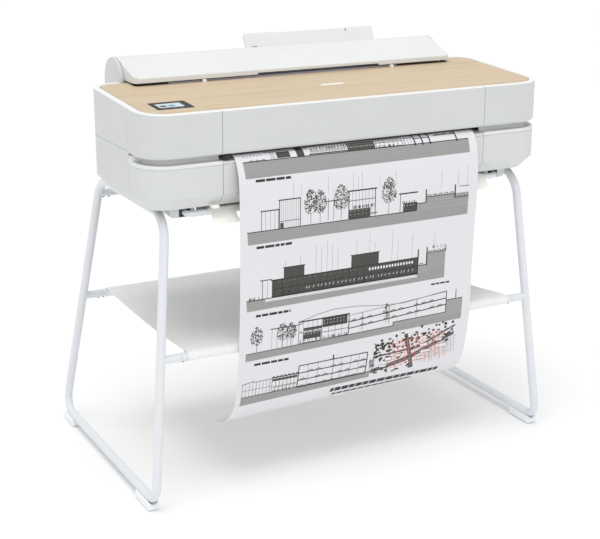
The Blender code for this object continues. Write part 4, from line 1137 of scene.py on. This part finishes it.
def make_tray():
    x0, x1 = TRAY_X
    top = 0.0810
    past = 0.09
    deep = top - 0.0100
    edge = x0 + 0.0845
    tray = leaning("sheet_tray_plate", (x0, x1, -0.006, top), 0.0, 0.0070, 0.0050, 0.0015)
    for box, w0, w1 in (((x0 + 0.082, x1 - 0.010, 0.004, past), 0.0024, 0.0056),
                        ((0.2411, 0.2441, deep, past), -0.01, 0.02),
                        ((edge, 0.2420, top - 0.0016, past), -0.01, 0.0030),
                        ((edge, 0.2400, top - 0.0090, top - 0.0082), -0.01, 0.0003)):
        cut(tray, leaning("cutter", box, w0, w1))
    place(smooth(soften(tray, 0.0006, 2, 40)), "sheet_tray", ["sheet_tray"])
    ext = leaning("tray_extension_plate", (x0 + 0.0825, x1 - 0.0105, 0.0045, 0.0797), 0.0027, 0.0053, 0.0050)
    cut(ext, leaning("notch", (0.2406, 0.2446, deep, past), -0.01, 0.02))
    cut(ext, leaning("grip", (0.120, 0.170, 0.0775, past), -0.01, 0.02, 0.0, 0.0012))
    place(smooth(soften(ext, 0.0004, 2, 40)), "tray_extension", ["tray_extension"])
    latch = leaning("tray_latch", (0.2409, 0.2443, 0.0700, 0.0786), 0.0030, 0.0052, look="black_plastic")
    place(smooth(latch), "tray_extension")


def make_roll():
    r0, r1 = 0.0250, ROLL_R
    half = [(PAPER_X - 0.0004, r0), (PAPER_X, r0 + 0.0006)]
    # the ends of the turns show as fine steps
    for k in range(1, 9):
        r = r0 + (r1 - r0) * k / 9
        half += [(PAPER_X - 0.0001 * (k % 2), r - 0.0002), (PAPER_X - 0.0001 * ((k + 1) % 2), r + 0.0002)]
    half += [(PAPER_X, r1 - 0.0003), (PAPER_X - 0.0003, r1)]
    profile = half + [(-x, r) for x, r in reversed(half)]
    roll = lathe_x("paper_roll_wound", profile, ROLL_Y, ROLL_Z, "paper", 96, hollow=True)
    place(smooth(roll, 30, False), "spindle", ["paper_roll"])
    half = [(0.4100, 0.0092), (0.4092, 0.0100), (0.3970, 0.0100), (0.3970, 0.0146), (0.3966, 0.0150),
            (0.3100, 0.0150), (0.3100, 0.0392), (0.3092, 0.0400), (0.3070, 0.0400), (0.3062, 0.0392),
            (0.3062, 0.0245)]
    profile = [(-x, r) for x, r in half] + half[::-1]
    bar = lathe_x("spindle_shaft", profile, ROLL_Y, ROLL_Z, "black_plastic")
    place(smooth(bar, 30, False), "spindle", ["spindle"])


# ---------------------------------------------------------------- fabric sling
TAIL = 0.017     # how far the cloth runs back past the bar under each hem


def grid_faces(rows, n):
    """Faces of a grid of vertices, n in each row."""
    firsts = [i * n + j for i in range(rows - 1) for j in range(n - 1)]
    return [(a, a + 1, a + 1 + n, a + n) for a in firsts]


def sling_line():
    """The cloth's side view, and the numbers of the first and last points that hang free.

    From the tail under the front hem, round the bar, over the span, round the rear bar.
    """
    fy, fz = BARS["lower_front_bar"]
    ry, rz = BARS["lower_rear_bar"]
    r = BAR_R + 0.0006 + CLOTH_T / 2
    tail = [(TAIL, r - 0.0038), (TAIL - 0.005, r - 0.0037), (TAIL - 0.009, r - 0.0052)]
    line = [(fy + a, fz + b) for a, b in tail] + arc(fy, fz, r, 20, -270, 30)[1:]
    first = len(line) + 3
    steps = 84
    line += [(fy + (ry - fy) * k / steps, fz + r) for k in range(1, steps)]
    last = len(line) - 4
    return line + arc(ry, rz, r, 90, -200, 30) + [(ry - a, rz + b) for a, b in reversed(tail)], first, last


def hang(cloth):
    """Let the cloth sag under its own weight."""
    modify(cloth, "CLOTH")
    mod = cloth.modifiers["cloth"]
    for key, value in {
            "quality": 7, "mass": 0.035, "tension_stiffness": 26, "compression_stiffness": 26,
            "shear_stiffness": 9, "bending_stiffness": 0.7, "air_damping": 3.0,
            "vertex_group_mass": "held", "shrink_min": -0.0002}.items():
        setattr(mod.settings, key, value)
    mod.collision_settings.use_collision = False
    mod.collision_settings.use_self_collision = False
    mod.point_cache.frame_start = 1
    mod.point_cache.frame_end = 60
    scene = bpy.context.scene
    for frame_number in range(1, 56):
        scene.frame_set(frame_number)
    bake(cloth)
    scene.frame_set(1)


def make_fabric():
    """One length of cloth hemmed round both lower bars; its span hangs under gravity."""
    line, first, last = sling_line()
    columns = 140
    n = columns + 1
    verts = [(-CLOTH_HALF + 2 * CLOTH_HALF * j / columns, y, z) for y, z in line for j in range(n)]
    cloth = build("fabric_sling", verts, grid_faces(len(line), n), "fabric_grey")
    held = cloth.vertex_groups.new(name="held")
    fast = [i for i in range(len(line)) if not first <= i <= last]
    held.add([i * n + j for i in fast for j in range(n)], 1.0, "REPLACE")
    # the cloth settles a little unevenly, as if it had been rolled up before
    rng = random.Random(4)
    waves = [(rng.uniform(3, 11), rng.uniform(0, 6.28), rng.uniform(0.00006, 0.00016)) for _ in range(9)]
    for i in range(first, last + 1):
        share = (i - first) / (last - first)
        waist = 1.0 - SLING_WAIST / CLOTH_HALF * 4.0 * share * (1.0 - share)
        for j in range(n):
            x = j / columns
            lift = sum(a * math.sin(f * 3.0 * x + p + 2.2 * share * (f % 2)) for f, p, a in waves)
            spot = cloth.data.vertices[i * n + j].co
            spot.z += lift * math.sin(math.pi * share)
            spot.x *= waist
    hang(cloth)
    modify(cloth, "SOLIDIFY", thickness=CLOTH_T, offset=0.0)
    bake(cloth)
    place(smooth(cloth, 60, False), "machine", ["fabric_shelf"])
    fy, ry = (BARS[name][0] for name in ("lower_front_bar", "lower_rear_bar"))
    for name, seam in (("front", fy + TAIL - 0.0035), ("rear", ry - TAIL + 0.0035)):
        place(stitch_row(name + "_hem_stitches", cloth, seam), "machine")


def stitch_row(name, cloth, y, count=196):
    """Thread stitches along a hem; each lies along X, sunk a little at both ends."""
    reach = CLOTH_HALF - 0.006
    rows = []
    for k in range(count):
        x = -reach + 2 * reach * k / (count - 1)
        hit, spot = cloth.ray_cast(Vector((x, y + SHIFT_Y, 0.45)), Vector((0, 0, -1)))[:2]
        z = (spot.z if hit else LOW_BAR_Z + BAR_R) + 0.00002
        rings = []
        for share, h, w in ((-1.0, -0.00025, 0.00010), (-0.7, 0.00012, 0.00026), (0.0, 0.00022, 0.00030),
                            (0.7, 0.00012, 0.00026), (1.0, -0.00025, 0.00010)):
            cx = x + 0.0017 * share
            rings.append([(cx, y - w, z + h), (cx, y, z + h - w), (cx, y + w, z + h), (cx, y, z + h + w)])
        rows.append(loft("stitch", rings, "hem_thread"))
    return smooth(merge(name, rows), 60, False)


# ---------------------------------------------------------------- printed sheet
class Edge:
    """One edge of the hanging sheet as a smooth (y, z) line, measured along itself."""

    def __init__(self, before, points):
        """before leads up to the first point; from there a centripetal Catmull-Rom spline runs on."""
        spots = [Vector(p) for p in points]
        spots = [spots[0] * 2 - spots[1]] + spots + [spots[-1] * 2 - spots[-2]]
        self.line = [Vector(p) for p in before]
        zero = len(self.line)
        for p0, p1, p2, p3 in zip(spots, spots[1:], spots[2:], spots[3:]):
            t1 = (p1 - p0).length ** 0.5
            t2 = t1 + (p2 - p1).length ** 0.5
            t3 = t2 + (p3 - p2).length ** 0.5
            for k in range(24):
                t = t1 + (t2 - t1) * k / 24
                a1 = p0.lerp(p1, t / t1)
                a2 = p1.lerp(p2, (t - t1) / (t2 - t1))
                a3 = p2.lerp(p3, (t - t2) / (t3 - t2))
                b1, b2 = a1.lerp(a2, t / t2), a2.lerp(a3, (t - t1) / (t3 - t1))
                self.line.append(b1.lerp(b2, (t - t1) / (t2 - t1)))
        self.line.append(spots[-2])
        self.marks = [0.0]
        for a, b in zip(self.line, self.line[1:]):
            self.marks.append(self.marks[-1] + (b - a).length)
        self.zero = self.marks[zero]
        self.length = self.marks[-1] - self.zero

    def point(self, s):
        """Place at distance s below the outlet; negative values are inside."""
        m = min(max(s + self.zero, 0.0), self.marks[-1])
        low = min(bisect.bisect_right(self.marks, m), len(self.marks) - 1) - 1
        share = (m - self.marks[low]) / max(self.marks[low + 1] - self.marks[low], 1e-9)
        return self.line[low].lerp(self.line[low + 1], share)


def inside_run():
    """The web from the roll over the platen to the outlet."""
    web_r = ROLL_R + 0.0006
    bend = (0, 0.030, PLATEN_Z + 0.0006)
    leave = math.radians(tangent_angle(bend[1], bend[2], web_r) + 360)
    start = (0, ROLL_Y + web_r * math.cos(leave), ROLL_Z + web_r * math.sin(leave))
    return [p.yz for p in rounded_path([start, bend, (0, -0.1690, bend[2])], [0.030], 12)]


LEFT_EDGE = [(-0.1700, 0.7706), (-0.1840, 0.7722), (-0.1960, 0.7690), (-0.2065, 0.7580), (-0.2150, 0.7400),
             (-0.2195, 0.7230), (-0.2218, 0.6950), (-0.2222, 0.6600), (-0.2220, 0.6200), (-0.2207, 0.5400),
             (-0.2185, 0.4590), (-0.2100, 0.3420), (-0.1960, 0.2448), (-0.1830, 0.2000), (-0.1570, 0.1630),
             (-0.1080, 0.1300), (-0.0720, 0.1210)]
RIGHT_EDGE = [(-0.1700, 0.7706), (-0.1840, 0.7722), (-0.1950, 0.7690), (-0.2050, 0.7580), (-0.2130, 0.7400),
              (-0.2170, 0.7230), (-0.2205, 0.6950), (-0.2220, 0.6600), (-0.2212, 0.6200), (-0.2165, 0.5400),
              (-0.2125, 0.4590), (-0.2100, 0.3400), (-0.1960, 0.2480), (-0.1830, 0.2090), (-0.1560, 0.1750),
              (-0.1230, 0.1540), (-0.0900, 0.1450)]
COLUMNS = 40
COLUMN = 2 * PAPER_X / COLUMNS
ROW = 0.006


class Web:
    """The hanging sheet as a ruled surface; u runs from its left edge, s down it."""

    def __init__(self):
        before = inside_run()
        self.left = Edge(before, LEFT_EDGE)
        self.right = Edge(before, RIGHT_EDGE)

    def end(self, u):
        return self.left.length + (self.right.length - self.left.length) * u / (2 * PAPER_X)

    def flat_point(self, u, s):
        p = self.left.point(s).lerp(self.right.point(s), u / (2 * PAPER_X))
        return Vector((u - PAPER_X, p.x, p.y))

    def point(self, u, s, height=0.0):
        """A point at a height above the printed face."""
        ds = self.flat_point(u, s + 0.0005) - self.flat_point(u, s - 0.0005)
        du = self.flat_point(min(u + 0.001, 2 * PAPER_X), s) - self.flat_point(max(u - 0.001, 0.0), s)
        return self.flat_point(u, s) + ds.cross(du).normalized() * height


def make_sheet(web):
    """The paper as a thin closed body; its last rows run down to the slanting end."""
    n = COLUMNS + 1
    level = [-web.left.zero + 0.0005]
    while level[-1] < -ROW * 2:
        level.append(level[-1] + ROW)
    level.append(-ROW)
    level += [ROW * i for i in range(108)]
    rows = [[s] * n for s in level]
    for i in range(1, 17):
        rows.append([level[-1] + (web.end(COLUMN * j) - 0.0006 - level[-1]) * i / 16 for j in range(n)])
    places = [(COLUMN * j, s) for row in rows for j, s in enumerate(row)]
    verts = [web.point(*place_on, height) for height in (0.0, -0.00025) for place_on in places]
    size = len(rows) * n
    front = grid_faces(len(rows), n)
    faces = front + [tuple(v + size for v in reversed(face)) for face in front]
    rim = list(range(n)) + [i * n + n - 1 for i in range(1, len(rows))]
    rim += [size - 1 - j for j in range(1, n)] + [i * n for i in range(len(rows) - 2, 0, -1)]
    faces += [(b, a, a + size, b + size) for a, b in zip(rim, rim[1:] + rim[:1])]
    sheet = build("printed_sheet_web", verts, faces, "paper")
    place(smooth(sheet, 60, False), "machine", ["printed_sheet"])


# ---------------------------------------------------------------- generic drawing on the sheet
class Drawing:
    """Flat ink shapes in millimetres: u from the left edge, s down the sheet."""

    def __init__(self):
        self.shapes = {}
        self.rng = random.Random(11)

    def poly(self, look, *points):
        self.shapes.setdefault(look, []).append(points)

    def boxes(self, look, *rows):
        for u0, s0, u1, s1 in rows:
            self.poly(look, (u0, s0), (u1, s0), (u1, s1), (u0, s1))

    def lines(self, look, width, *rows):
        for u0, s0, u1, s1 in rows:
            d = math.hypot(u1 - u0, s1 - s0)
            a, b = -(s1 - s0) / d * width / 2, (u1 - u0) / d * width / 2
            self.poly(look, (u0 + a, s0 + b), (u1 + a, s1 + b), (u1 - a, s1 - b), (u0 - a, s0 - b))

    def posts(self, look, width, *rows):
        """Upright bars: each row has their two ends, then the place of each bar."""
        for s0, s1, *places in rows:
            self.boxes(look, *[(u - width / 2, s0, u + width / 2, s1) for u in places])

    def windows(self, look, share, u0, s0, u1, s1, across, down):
        """Boxes that fill a share of each field of a grid."""
        pu, ps = (u1 - u0) / across, (s1 - s0) / down
        corners = [(u0 + i * pu, s0 + k * ps) for i in range(across) for k in range(down)]
        self.boxes(look, *[(u, s, u + pu * share, s + ps * share) for u, s in corners])

    def blob(self, look, u, s, ru, rs):
        points = []
        for k in range(10):
            a = 2 * math.pi * k / 10
            q = self.rng.uniform(0.75, 1.1)
            points.append((u + ru * q * math.cos(a), s + rs * q * math.sin(a)))
        self.poly(look, *points)

    def trees(self, *rows):
        """Thin trunks under dense leafy crowns; a row is (u, s of its foot, height, spread)."""
        rng = self.rng
        for u, s, height, spread in rows:
            self.posts("line", 0.9, (s - height * 0.55, s, u))
            half = height * 0.36
            middle = s - height + half
            for k in range(int(spread * half * 0.46)):
                a, q = rng.uniform(0, 2 * math.pi), math.sqrt(rng.uniform(0.02, 1.0))
                wide = 1.0 - 0.22 * math.sin(a)
                self.blob("leaf" if k % 3 else "tree", u + spread * q * wide * math.cos(a),
                          middle - half * q * math.sin(a), rng.uniform(0.9, 1.9), rng.uniform(0.8, 1.7))
            fork = s - height * 0.42
            for a in (math.radians(-50 + 25 * k) for k in range(5)):
                tip = (u + spread * 0.7 * math.sin(a), fork - half * 0.9 * math.cos(a))
                self.lines("line", 0.35, (u, fork, *tip))

    def caption(self, u, s, length, height=5.6):
        """A row of plain blocks where a caption would stand."""
        while length > 0:
            size = self.rng.uniform(9, 22)
            self.boxes("line", (u, s, u + min(size, length), s + height))
            u += size + 2.6
            length -= size + 2.6

    def ground(self, top, left, right, pitch=4.0):
        """Grey earth from a heavy line down to left and right, with fine level strokes across it."""
        (u0, s0), u1 = top[0], top[-1][0]
        self.poly("ground", *top, (u1, right), (u0, left))
        for (a, b), (c, d) in zip(top, top[1:]):
            if a == c:
                self.posts("line", 2.0, (min(b, d), max(b, d) + 0.7, a))
            else:
                self.lines("line", 1.7, (a, b, c, d))
        for drop in (pitch * k for k in range(1, math.ceil((left - s0) / pitch))):
            self.lines("stroke", 0.5, (u0, s0 + drop, u1, right - (left - s0 - drop)))

    def cars(self, length, *places):
        """Side views of small cars that stand on s."""
        h = length * 0.17
        outline = [(0, -0.8), (0, -h), (0.22, -h * 1.15), (0.34, -h * 2), (0.68, -h * 2), (0.84, -h * 1.15),
                   (1, -h), (1, -0.8)]
        for u, s in places:
            self.poly("hatch", *[(u + length * a, s + b) for a, b in outline])
            self.posts("line", 2.4, (s - 2.2, s, u + length * 0.2, u + length * 0.8))

    def crowd(self, u0, u1, s, count, height=5.0):
        """Small standing figures in a row."""
        self.posts("line", 1.2, (s - height, s, *[self.rng.uniform(u0, u1) for _ in range(count)]))

    def storeys(self, u0, s0, u1, s1, floors, bays, lean=0.0, width=1.3):
        """Building cut open: heavy floors, lighter columns; lean lifts its right side."""
        for k in range(floors + 1):
            s = s0 + (s1 - s0) * k / floors
            self.lines("line", width, (u0, s, u1, s - lean))
        for i in range(bays + 1):
            rise = lean * i / bays
            self.posts("line", width if i in (0, bays) else width * 0.5,
                       (s0 - rise, s1 - rise, u0 + (u1 - u0) * i / bays))


def draw_first(d):
    """Long section at the outlet, its upper part still inside the machine."""
    d.poly("ground", (15, 42), (590, 42), (588, 74), (16, 78))
    d.lines("line", 2.0, (15, 42, 590, 42))
    d.lines("stroke", 0.5, *[(16, 42 + 4 * k, 589, 42 + 3.8 * k) for k in range(1, 9)])
    d.boxes("line", (72, 20, 176, 21.6), (176, 38, 272, 40.4), (446, 27, 486, 29), (500, 24, 560, 26))
    d.boxes("dark", (98, 24, 130, 40), (146, 12, 164, 42), (272, 20, 342, 42))
    d.windows("hatch", 0.42, 275, 24, 340, 38, 11, 2)
    d.lines("line", 1.2, *[(180 + 7.6 * k, 37, 184 + 7.6 * k, 22) for k in range(12)])
    d.boxes("hatch", *[(183 + 7.6 * k, 30, 186.6 + 7.6 * k, 36) for k in range(12)])
    d.storeys(345, 18, 414, 41, 2, 6)
    d.windows("hatch", 0.55, 348, 22, 412, 30, 9, 1)
    d.storeys(420, 24, 446, 42, 1, 3)
    d.posts("line", 3.4, (12, 46, 446, 466, 486, 558))
    d.cars(12, (30, 42), (44, 42), (58, 42))
    d.cars(14, (505, 24), (524, 24), (543, 24))
    d.windows("hatch", 0.35, 20, 14, 68, 38, 6, 2)
    d.posts("line", 0.8, (22, 41, 84, 88, 92))
    d.crowd(182, 268, 30, 22)
    d.crowd(350, 410, 41, 14)
    d.caption(39, 81, 84)


def draw_second(d):
    """Section through a hall between trees, with walls stepping up to the right."""
    d.poly("ground", (17, 195), (444, 195), (444, 221), (19, 223))
    d.poly("ground", (444, 179), (469, 179), (469, 221), (444, 221))
    d.poly("ground", (469, 166), (586, 166), (586, 220), (469, 221))
    d.lines("line", 1.9, (17, 195, 444, 195), (444, 179, 469, 179))
    d.lines("stroke", 0.5, *[(18, 195 + 4 * k, 586, 194 + 4 * k) for k in range(1, 7)])
    d.lines("stroke", 0.5, *[(470, 171 + 8 * k, 586, 171 + 8 * k) for k in range(3)])
    d.boxes("line", (469, 165, 550, 167), (549, 175, 586, 176.6), (49, 150, 95, 152.4), (92, 130, 146, 132.4),
            (92, 178, 146, 179.2), (206, 146, 236, 148), (264, 129, 338, 132), (267, 152, 334, 153.4),
            (322, 186, 340, 188), (396, 150, 446, 153), (560, 150, 586, 151.4))
    d.boxes("dark", (96, 182, 104, 194), (267, 173, 322, 194), (408, 174, 444, 194))
    d.posts("line", 3.0, (175, 195, 444), (148, 179, 469))
    d.posts("line", 3.4, (145, 176, 548))
    d.posts("line", 1.2, (152, 194, 51, 92))
    d.posts("line", 1.6, (132, 194, 94, 145))
    d.posts("line", 1.0, (140, 190, 214, 228))
    d.posts("line", 1.8, (129, 193, 266, 334))
    d.posts("line", 1.4, (152, 194, 400))
    d.posts("thin", 0.8, (152, 194, 61, 72, 83), (132, 192, *[267 + 8.4 * k for k in range(9)]))
    d.posts("thin", 0.7, (132, 194, *[94 + 5.1 * k for k in range(1, 10)]))
    d.trees((171, 193, 78, 17), (194, 192, 74, 15), (247, 192, 80, 19), (370, 193, 84, 19))
    d.crowd(270, 332, 172, 26, 7)
    d.windows("hatch", 0.22, 270, 176, 320, 192, 5, 2)
    d.windows("hatch", 0.25, 410, 178, 442, 192, 4, 1)
    d.crowd(402, 440, 174, 8)
    d.cars(12.5, *[(471 + 15.4 * k, 164) for k in range(5)])
    d.cars(13, (556, 174.6))
    d.cars(12, (572, 174.6))
    d.posts("thin", 0.6, (96, 128, 128), (104, 128, 148, 345), (92, 128, 214, 277), (120, 128, 226),
            (100, 128, 290), (88, 128, 300), (96, 128, 388), (108, 150, 510), (112, 150, 556),
            (104, 150, 582))
    d.caption(39, 228, 86)


def draw_third(d):
    """Long dark hall with two towers on its roof."""
    d.poly("ground", (15, 350), (61, 350), (61, 358), (456, 358), (456, 330), (480, 330), (480, 302),
           (532, 302), (532, 369), (17, 375))
    d.lines("line", 2.0, (15, 350, 76, 350), (76, 350, 456, 350), (456, 330, 480, 330), (480, 302, 534, 302))
    d.lines("stroke", 0.5, *[(16, 354 + 4 * k, 532, 352 + 3.6 * k) for k in range(5)])
    d.lines("stroke", 0.5, *[(482, 307 + 6 * k, 532, 307 + 6 * k) for k in range(8)])
    d.boxes("dark", (77, 310, 456, 349), (106, 285, 157, 310), (277, 281, 349, 311))
    d.boxes("line", (74, 308.6, 458, 311), (77, 330, 456, 331.8), (77, 347, 456, 350), (104, 283.6, 159, 285.6),
            (275, 279.6, 351, 281.6), (48, 306, 76, 308))
    d.posts("line", 3.2, (290, 352, 456), (288, 332, 480))
    d.posts("line", 1.2, (311, 349, *[84 + 19 * k for k in range(20)]))
    d.posts("line", 1.4, (308, 349, 54))
    d.posts("line", 2.0, (288, 302, 532))
    d.posts("thin", 0.8, (308, 349, 66))
    d.windows("blank", 0.56, 324, 316, 446, 327, 16, 1)
    for u in (160 + 10.4 * k for k in range(28)):
        u += d.rng.uniform(-2, 2)
        d.lines("blank", 1.2, (u, 341, u + 2.4, 336))
    d.windows("hatch", 0.22, 92, 315, 300, 319, 16, 1)
    d.crowd(90, 440, 346, 44, 7)
    d.crowd(20, 50, 349, 5, 6)
    d.cars(14, (20, 349))
    d.cars(11.5, *[(482 + 13 * k, 300) for k in range(4)])
    d.cars(12, (459, 328))
    d.crowd(484, 530, 292, 6, 6)
    d.posts("thin", 0.6, (268, 284, 110), (262, 284, 147), (240, 309, 186), (248, 309, 200), (236, 309, 214),
            (244, 309, 228), (262, 309, 242, 400), (246, 280, 290), (236, 280, 324), (256, 280, 338),
            (232, 309, 384), (250, 309, 438), (252, 300, 499))
    d.caption(39, 385, 86)
    d.caption(496, 380, 54, 4.0)


def draw_fourth(d):
    """Sloping ground with trees, a dark house and decks for cars under a long roof."""
    d.ground([(17, 477), (396, 469), (396, 460), (541, 458), (541, 427), (587, 427)], 495, 481)
    d.trees((43, 476, 62, 15), (107, 474, 60, 14), (128, 474, 58, 13), (376, 460, 50, 8))
    d.boxes("line", (76, 424, 140, 426), (146, 418, 278, 421))
    d.lines("line", 1.4, (140, 426, 158, 424))
    d.posts("thin", 0.8, (426, 474, *[80 + 13 * k for k in range(5)]))
    d.boxes("dark", (159, 436, 206, 443), (159, 448, 204, 464), (208, 421, 272, 442))
    d.windows("hatch", 0.3, 162, 450, 202, 462, 5, 1)
    d.windows("blank", 0.20, 211, 424, 270, 440, 7, 2)
    d.storeys(206, 421, 276, 470, 3, 4)
    d.storeys(147, 420, 206, 472, 2, 5, width=1.1)
    d.crowd(150, 272, 470, 26, 6)
    d.crowd(150, 204, 447, 8, 4)
    roof = [(147, 420), (192, 408), (237, 402), (296, 404), (353, 412), (420, 416), (541, 404)]
    d.lines("line", 1.0, *[(*a, *b) for a, b in zip(roof, roof[1:])])

    def rise(u):
        """How far the decks have climbed at u."""
        return 18 * (u - 277) / 264

    d.lines("line", 2.4, (277, 440, 541, 422), (277, 456, 541, 438))
    d.lines("line", 0.9, (277, 424, 541, 406))
    for u in (277, 312, 384, 458, 541):
        d.posts("line", 2.0 if u == 541 else 1.1, (424 - rise(u), 468 - rise(u), u))
    bays = [(k, 282 + 21 * k) for k in range(12)]
    d.cars(15, *[(u, 439 - rise(u)) for k, u in bays if k % 4 != 3])
    d.cars(15, *[(u + 3, 455 - rise(u)) for k, u in bays if k % 3])
    d.posts("line", 2.0, (404, 428, 541, 568))
    d.caption(39, 503, 86)


def draw_fifth(d):
    """Section of a parking house and the low house on its left."""
    d.ground([(13, 588), (348, 583)], 613, 601)
    d.storeys(154, 530, 334, 588, 3, 2, 3.0, 2.4)
    d.posts("thin", 0.9, (529, 587, 178, 204, 266, 290, 312))
    for k in range(9):
        d.cars(16, *[(158 + 19.6 * k, s - 0.3 * k) for s in (549, 568, 587) if (k * 5 + s) % 3])
    d.posts("line", 3.4, (517, 530, 242))
    d.boxes("line", (232, 527, 256, 529), (86, 548, 154, 550))
    for u in (86 + 9.8 * k for k in range(7)):
        d.poly("dark", (u, 548), (u + 4.9, 544), (u + 9.8, 548))
    d.boxes("dark", (88, 552, 152, 558))
    d.posts("line", 1.0, (550, 588, *[88 + 9.4 * k for k in range(8)]))
    d.boxes("hatch", (90, 572, 152, 576))
    d.crowd(90, 150, 587, 12, 6)
    for k in range(9):
        d.posts("thin" if k % 4 else "line", 0.9, (552 - 0.2 * k, 588, 14 + 8.6 * k))
    d.lines("line", 1.4, (12, 553, 42, 548))
    d.lines("line", 1.3, (39, 551, 86, 550))
    d.lines("line", 0.9, (14, 570, 86, 570))
    d.trees((346, 583, 34, 5), (352, 583, 34, 5))


def draw_site(d):
    """Site plan with streets, planting and houses, over two title bars."""
    d.poly("road", (349, 578), (440, 560), (572, 512), (572, 521), (444, 572), (349, 590))
    d.poly("road", (430, 497), (440, 496), (470, 596), (459, 598))
    d.poly("road", (350, 542), (470, 536), (574, 494), (574, 498), (472, 541), (350, 547))
    # each band of planting: its two sides at the left, and how far it climbs to the right
    bands = ((506, 572, 40), (506, 572, 40), (512, 538, 18), (512, 538, 18), (580, 600, 10))
    for k in range(190):
        share = d.rng.uniform(0, 1) ** 1.5
        s0, s1, climb = bands[k % 5]
        s = d.rng.uniform(s0, s1) - climb * share
        if share <= 0.5 or s <= 540:
            ru, rs = d.rng.uniform(2.2, 5.2), d.rng.uniform(1.8, 4.4)
            d.blob("green" if k % 3 else "line", 352 + 220 * share, s, ru, rs)
    for k in range(11):
        d.lines("red", 1.0, (396 + 14 * k, 500 + 2 * (k % 4), 418 + 14 * k, 588 - 5 * (k % 3)))
    d.lines("red", 1.0, *[(386, 520 + 11 * k, 540, 506 + 10 * k) for k in range(7)])
    houses = [(384, 552, 404, 562), (412, 546, 428, 556), (478, 530, 500, 540), (482, 548, 512, 558),
              (520, 522, 540, 532), (524, 540, 556, 552), (476, 566, 500, 576), (370, 570, 392, 578)]
    d.boxes("line", *houses)
    d.boxes("blank", *[(u0 + 1.1, s0 + 1.1, u1 - 1.1, s1 - 1.1) for u0, s0, u1, s1 in houses])
    d.lines("thin", 0.7, *[(500 + 7.4 * k, 512 - 1.6 * k, 514 + 7.4 * k, 590 - 2 * k) for k in range(10)])
    d.lines("thin", 0.7, *[(478 + 4 * k, 584 - 5 * k, 580, 560 - 9 * k) for k in range(5)])
    d.caption(252, 617, 300, 15.0)
    d.caption(265, 643, 222, 11.0)


def ink_layer(web, name, shapes):
    """One ink's shapes as a thin closed layer that follows the sheet."""
    level = 0.00003 + 0.000012 * list(INKS).index(name)
    bm = bmesh.new()
    for shape in shapes:
        bm.faces.new([bm.verts.new((u / 1000, s / 1000, 0)) for u, s in shape])
    ends = [v.co.y / ROW for v in bm.verts]
    cuts = [((0, ROW * k, 0), (0, 1, 0)) for k in range(math.ceil(min(ends)), math.floor(max(ends)) + 1)]
    cuts += [((COLUMN * k, 0, 0), (1, 0, 0)) for k in range(1, COLUMNS)]
    for point, normal in cuts:
        everything = bm.verts[:] + bm.edges[:] + bm.faces[:]
        bmesh.ops.bisect_plane(bm, geom=everything, plane_co=point, plane_no=normal, dist=0.000001)
    bm.verts.index_update()
    size = len(bm.verts)
    verts = [web.point(v.co.x, v.co.y, height) for height in (level, 0.000008) for v in bm.verts]
    faces = []
    for face in bm.faces:
        loop = [v.index for v in face.verts]
        faces += [loop, [k + size for k in reversed(loop)]]
    for edge in bm.edges:
        if edge.is_boundary:
            a, b = (v.index for v in edge.verts)
            faces.append((b, a, a + size, b + size))
    bm.free()
    place(build("drawing_" + name, verts, faces, "print_" + name), "machine")


def make_print(web):
    d = Drawing()
    for draw in (draw_first, draw_second, draw_third, draw_fourth, draw_fifth, draw_site):
        draw(d)
    for name, shapes in d.shapes.items():
        ink_layer(web, name, shapes)


# ---------------------------------------------------------------- small extras
def make_details():
    front, deep = FRONT + 0.0020, FRONT + 0.0180
    rows = (
        ("seam_catch", (-0.3570, front, 0.6640), (-0.3405, deep, 0.6712), "badge", 0.0012, 3, "cover_white"),
        ("outlet_guide_left", (-0.3300, front + 0.0010, 0.7672), (-0.3120, deep, 0.7762), "black_plastic",
         0.0010, 3, "black_plastic"),
        # grey strip under the body, seen through the gap above the front rail: painted shade of the underside
        ("bottom_strip", (-0.3740, -0.1500, 0.6440), (0.3740, -0.1480, 0.6647), "shade_grey", 0.0006, 2,
         "cover_white"),
    )
    for *values, slot in rows:
        place(smooth(block(*values)), "machine")


CAD_LOOKS = {
    "sheet_steel": ["bottom_pan", "chassis"],
    "dark_plastic": ["platen", "pinch_roller", "carriage", "sheet_guide"],
    "rubber": ["feed_roller", "drive_belt"],
    "steel": ["carriage_rod"],
    "black_plastic": ["printhead", "power_inlet", "power_button"],
    "cartridge_black": ["ink_black"],
    "cartridge_cyan": ["ink_cyan"],
    "cartridge_magenta": ["ink_magenta"],
    "cartridge_yellow": ["ink_yellow"],
}


def dress_cad():
    """Better finishes for the CAD pieces that are shown as they are."""
    for look, names in CAD_LOOKS.items():
        for obj in (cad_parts[name] for name in names):
            obj.data.materials.clear()
            obj.data.materials.append(LOOKS[look].mat)
            modify(obj, "BEVEL", width=0.0003, segments=2, limit_method="ANGLE", angle_limit=math.radians(40))


for make in (make_looks, make_camera, make_lights, make_sky, make_floor, make_covers, make_top,
             make_roll_cover, make_end_caps, make_cover_tabs, make_side_frames, make_bars, make_screws,
             make_feet, make_front_rail, make_flap, make_rear, make_tray, make_roll, make_fabric):
    make()
paper_web = Web()
make_sheet(paper_web)
make_print(paper_web)
make_details()
dress_cad()
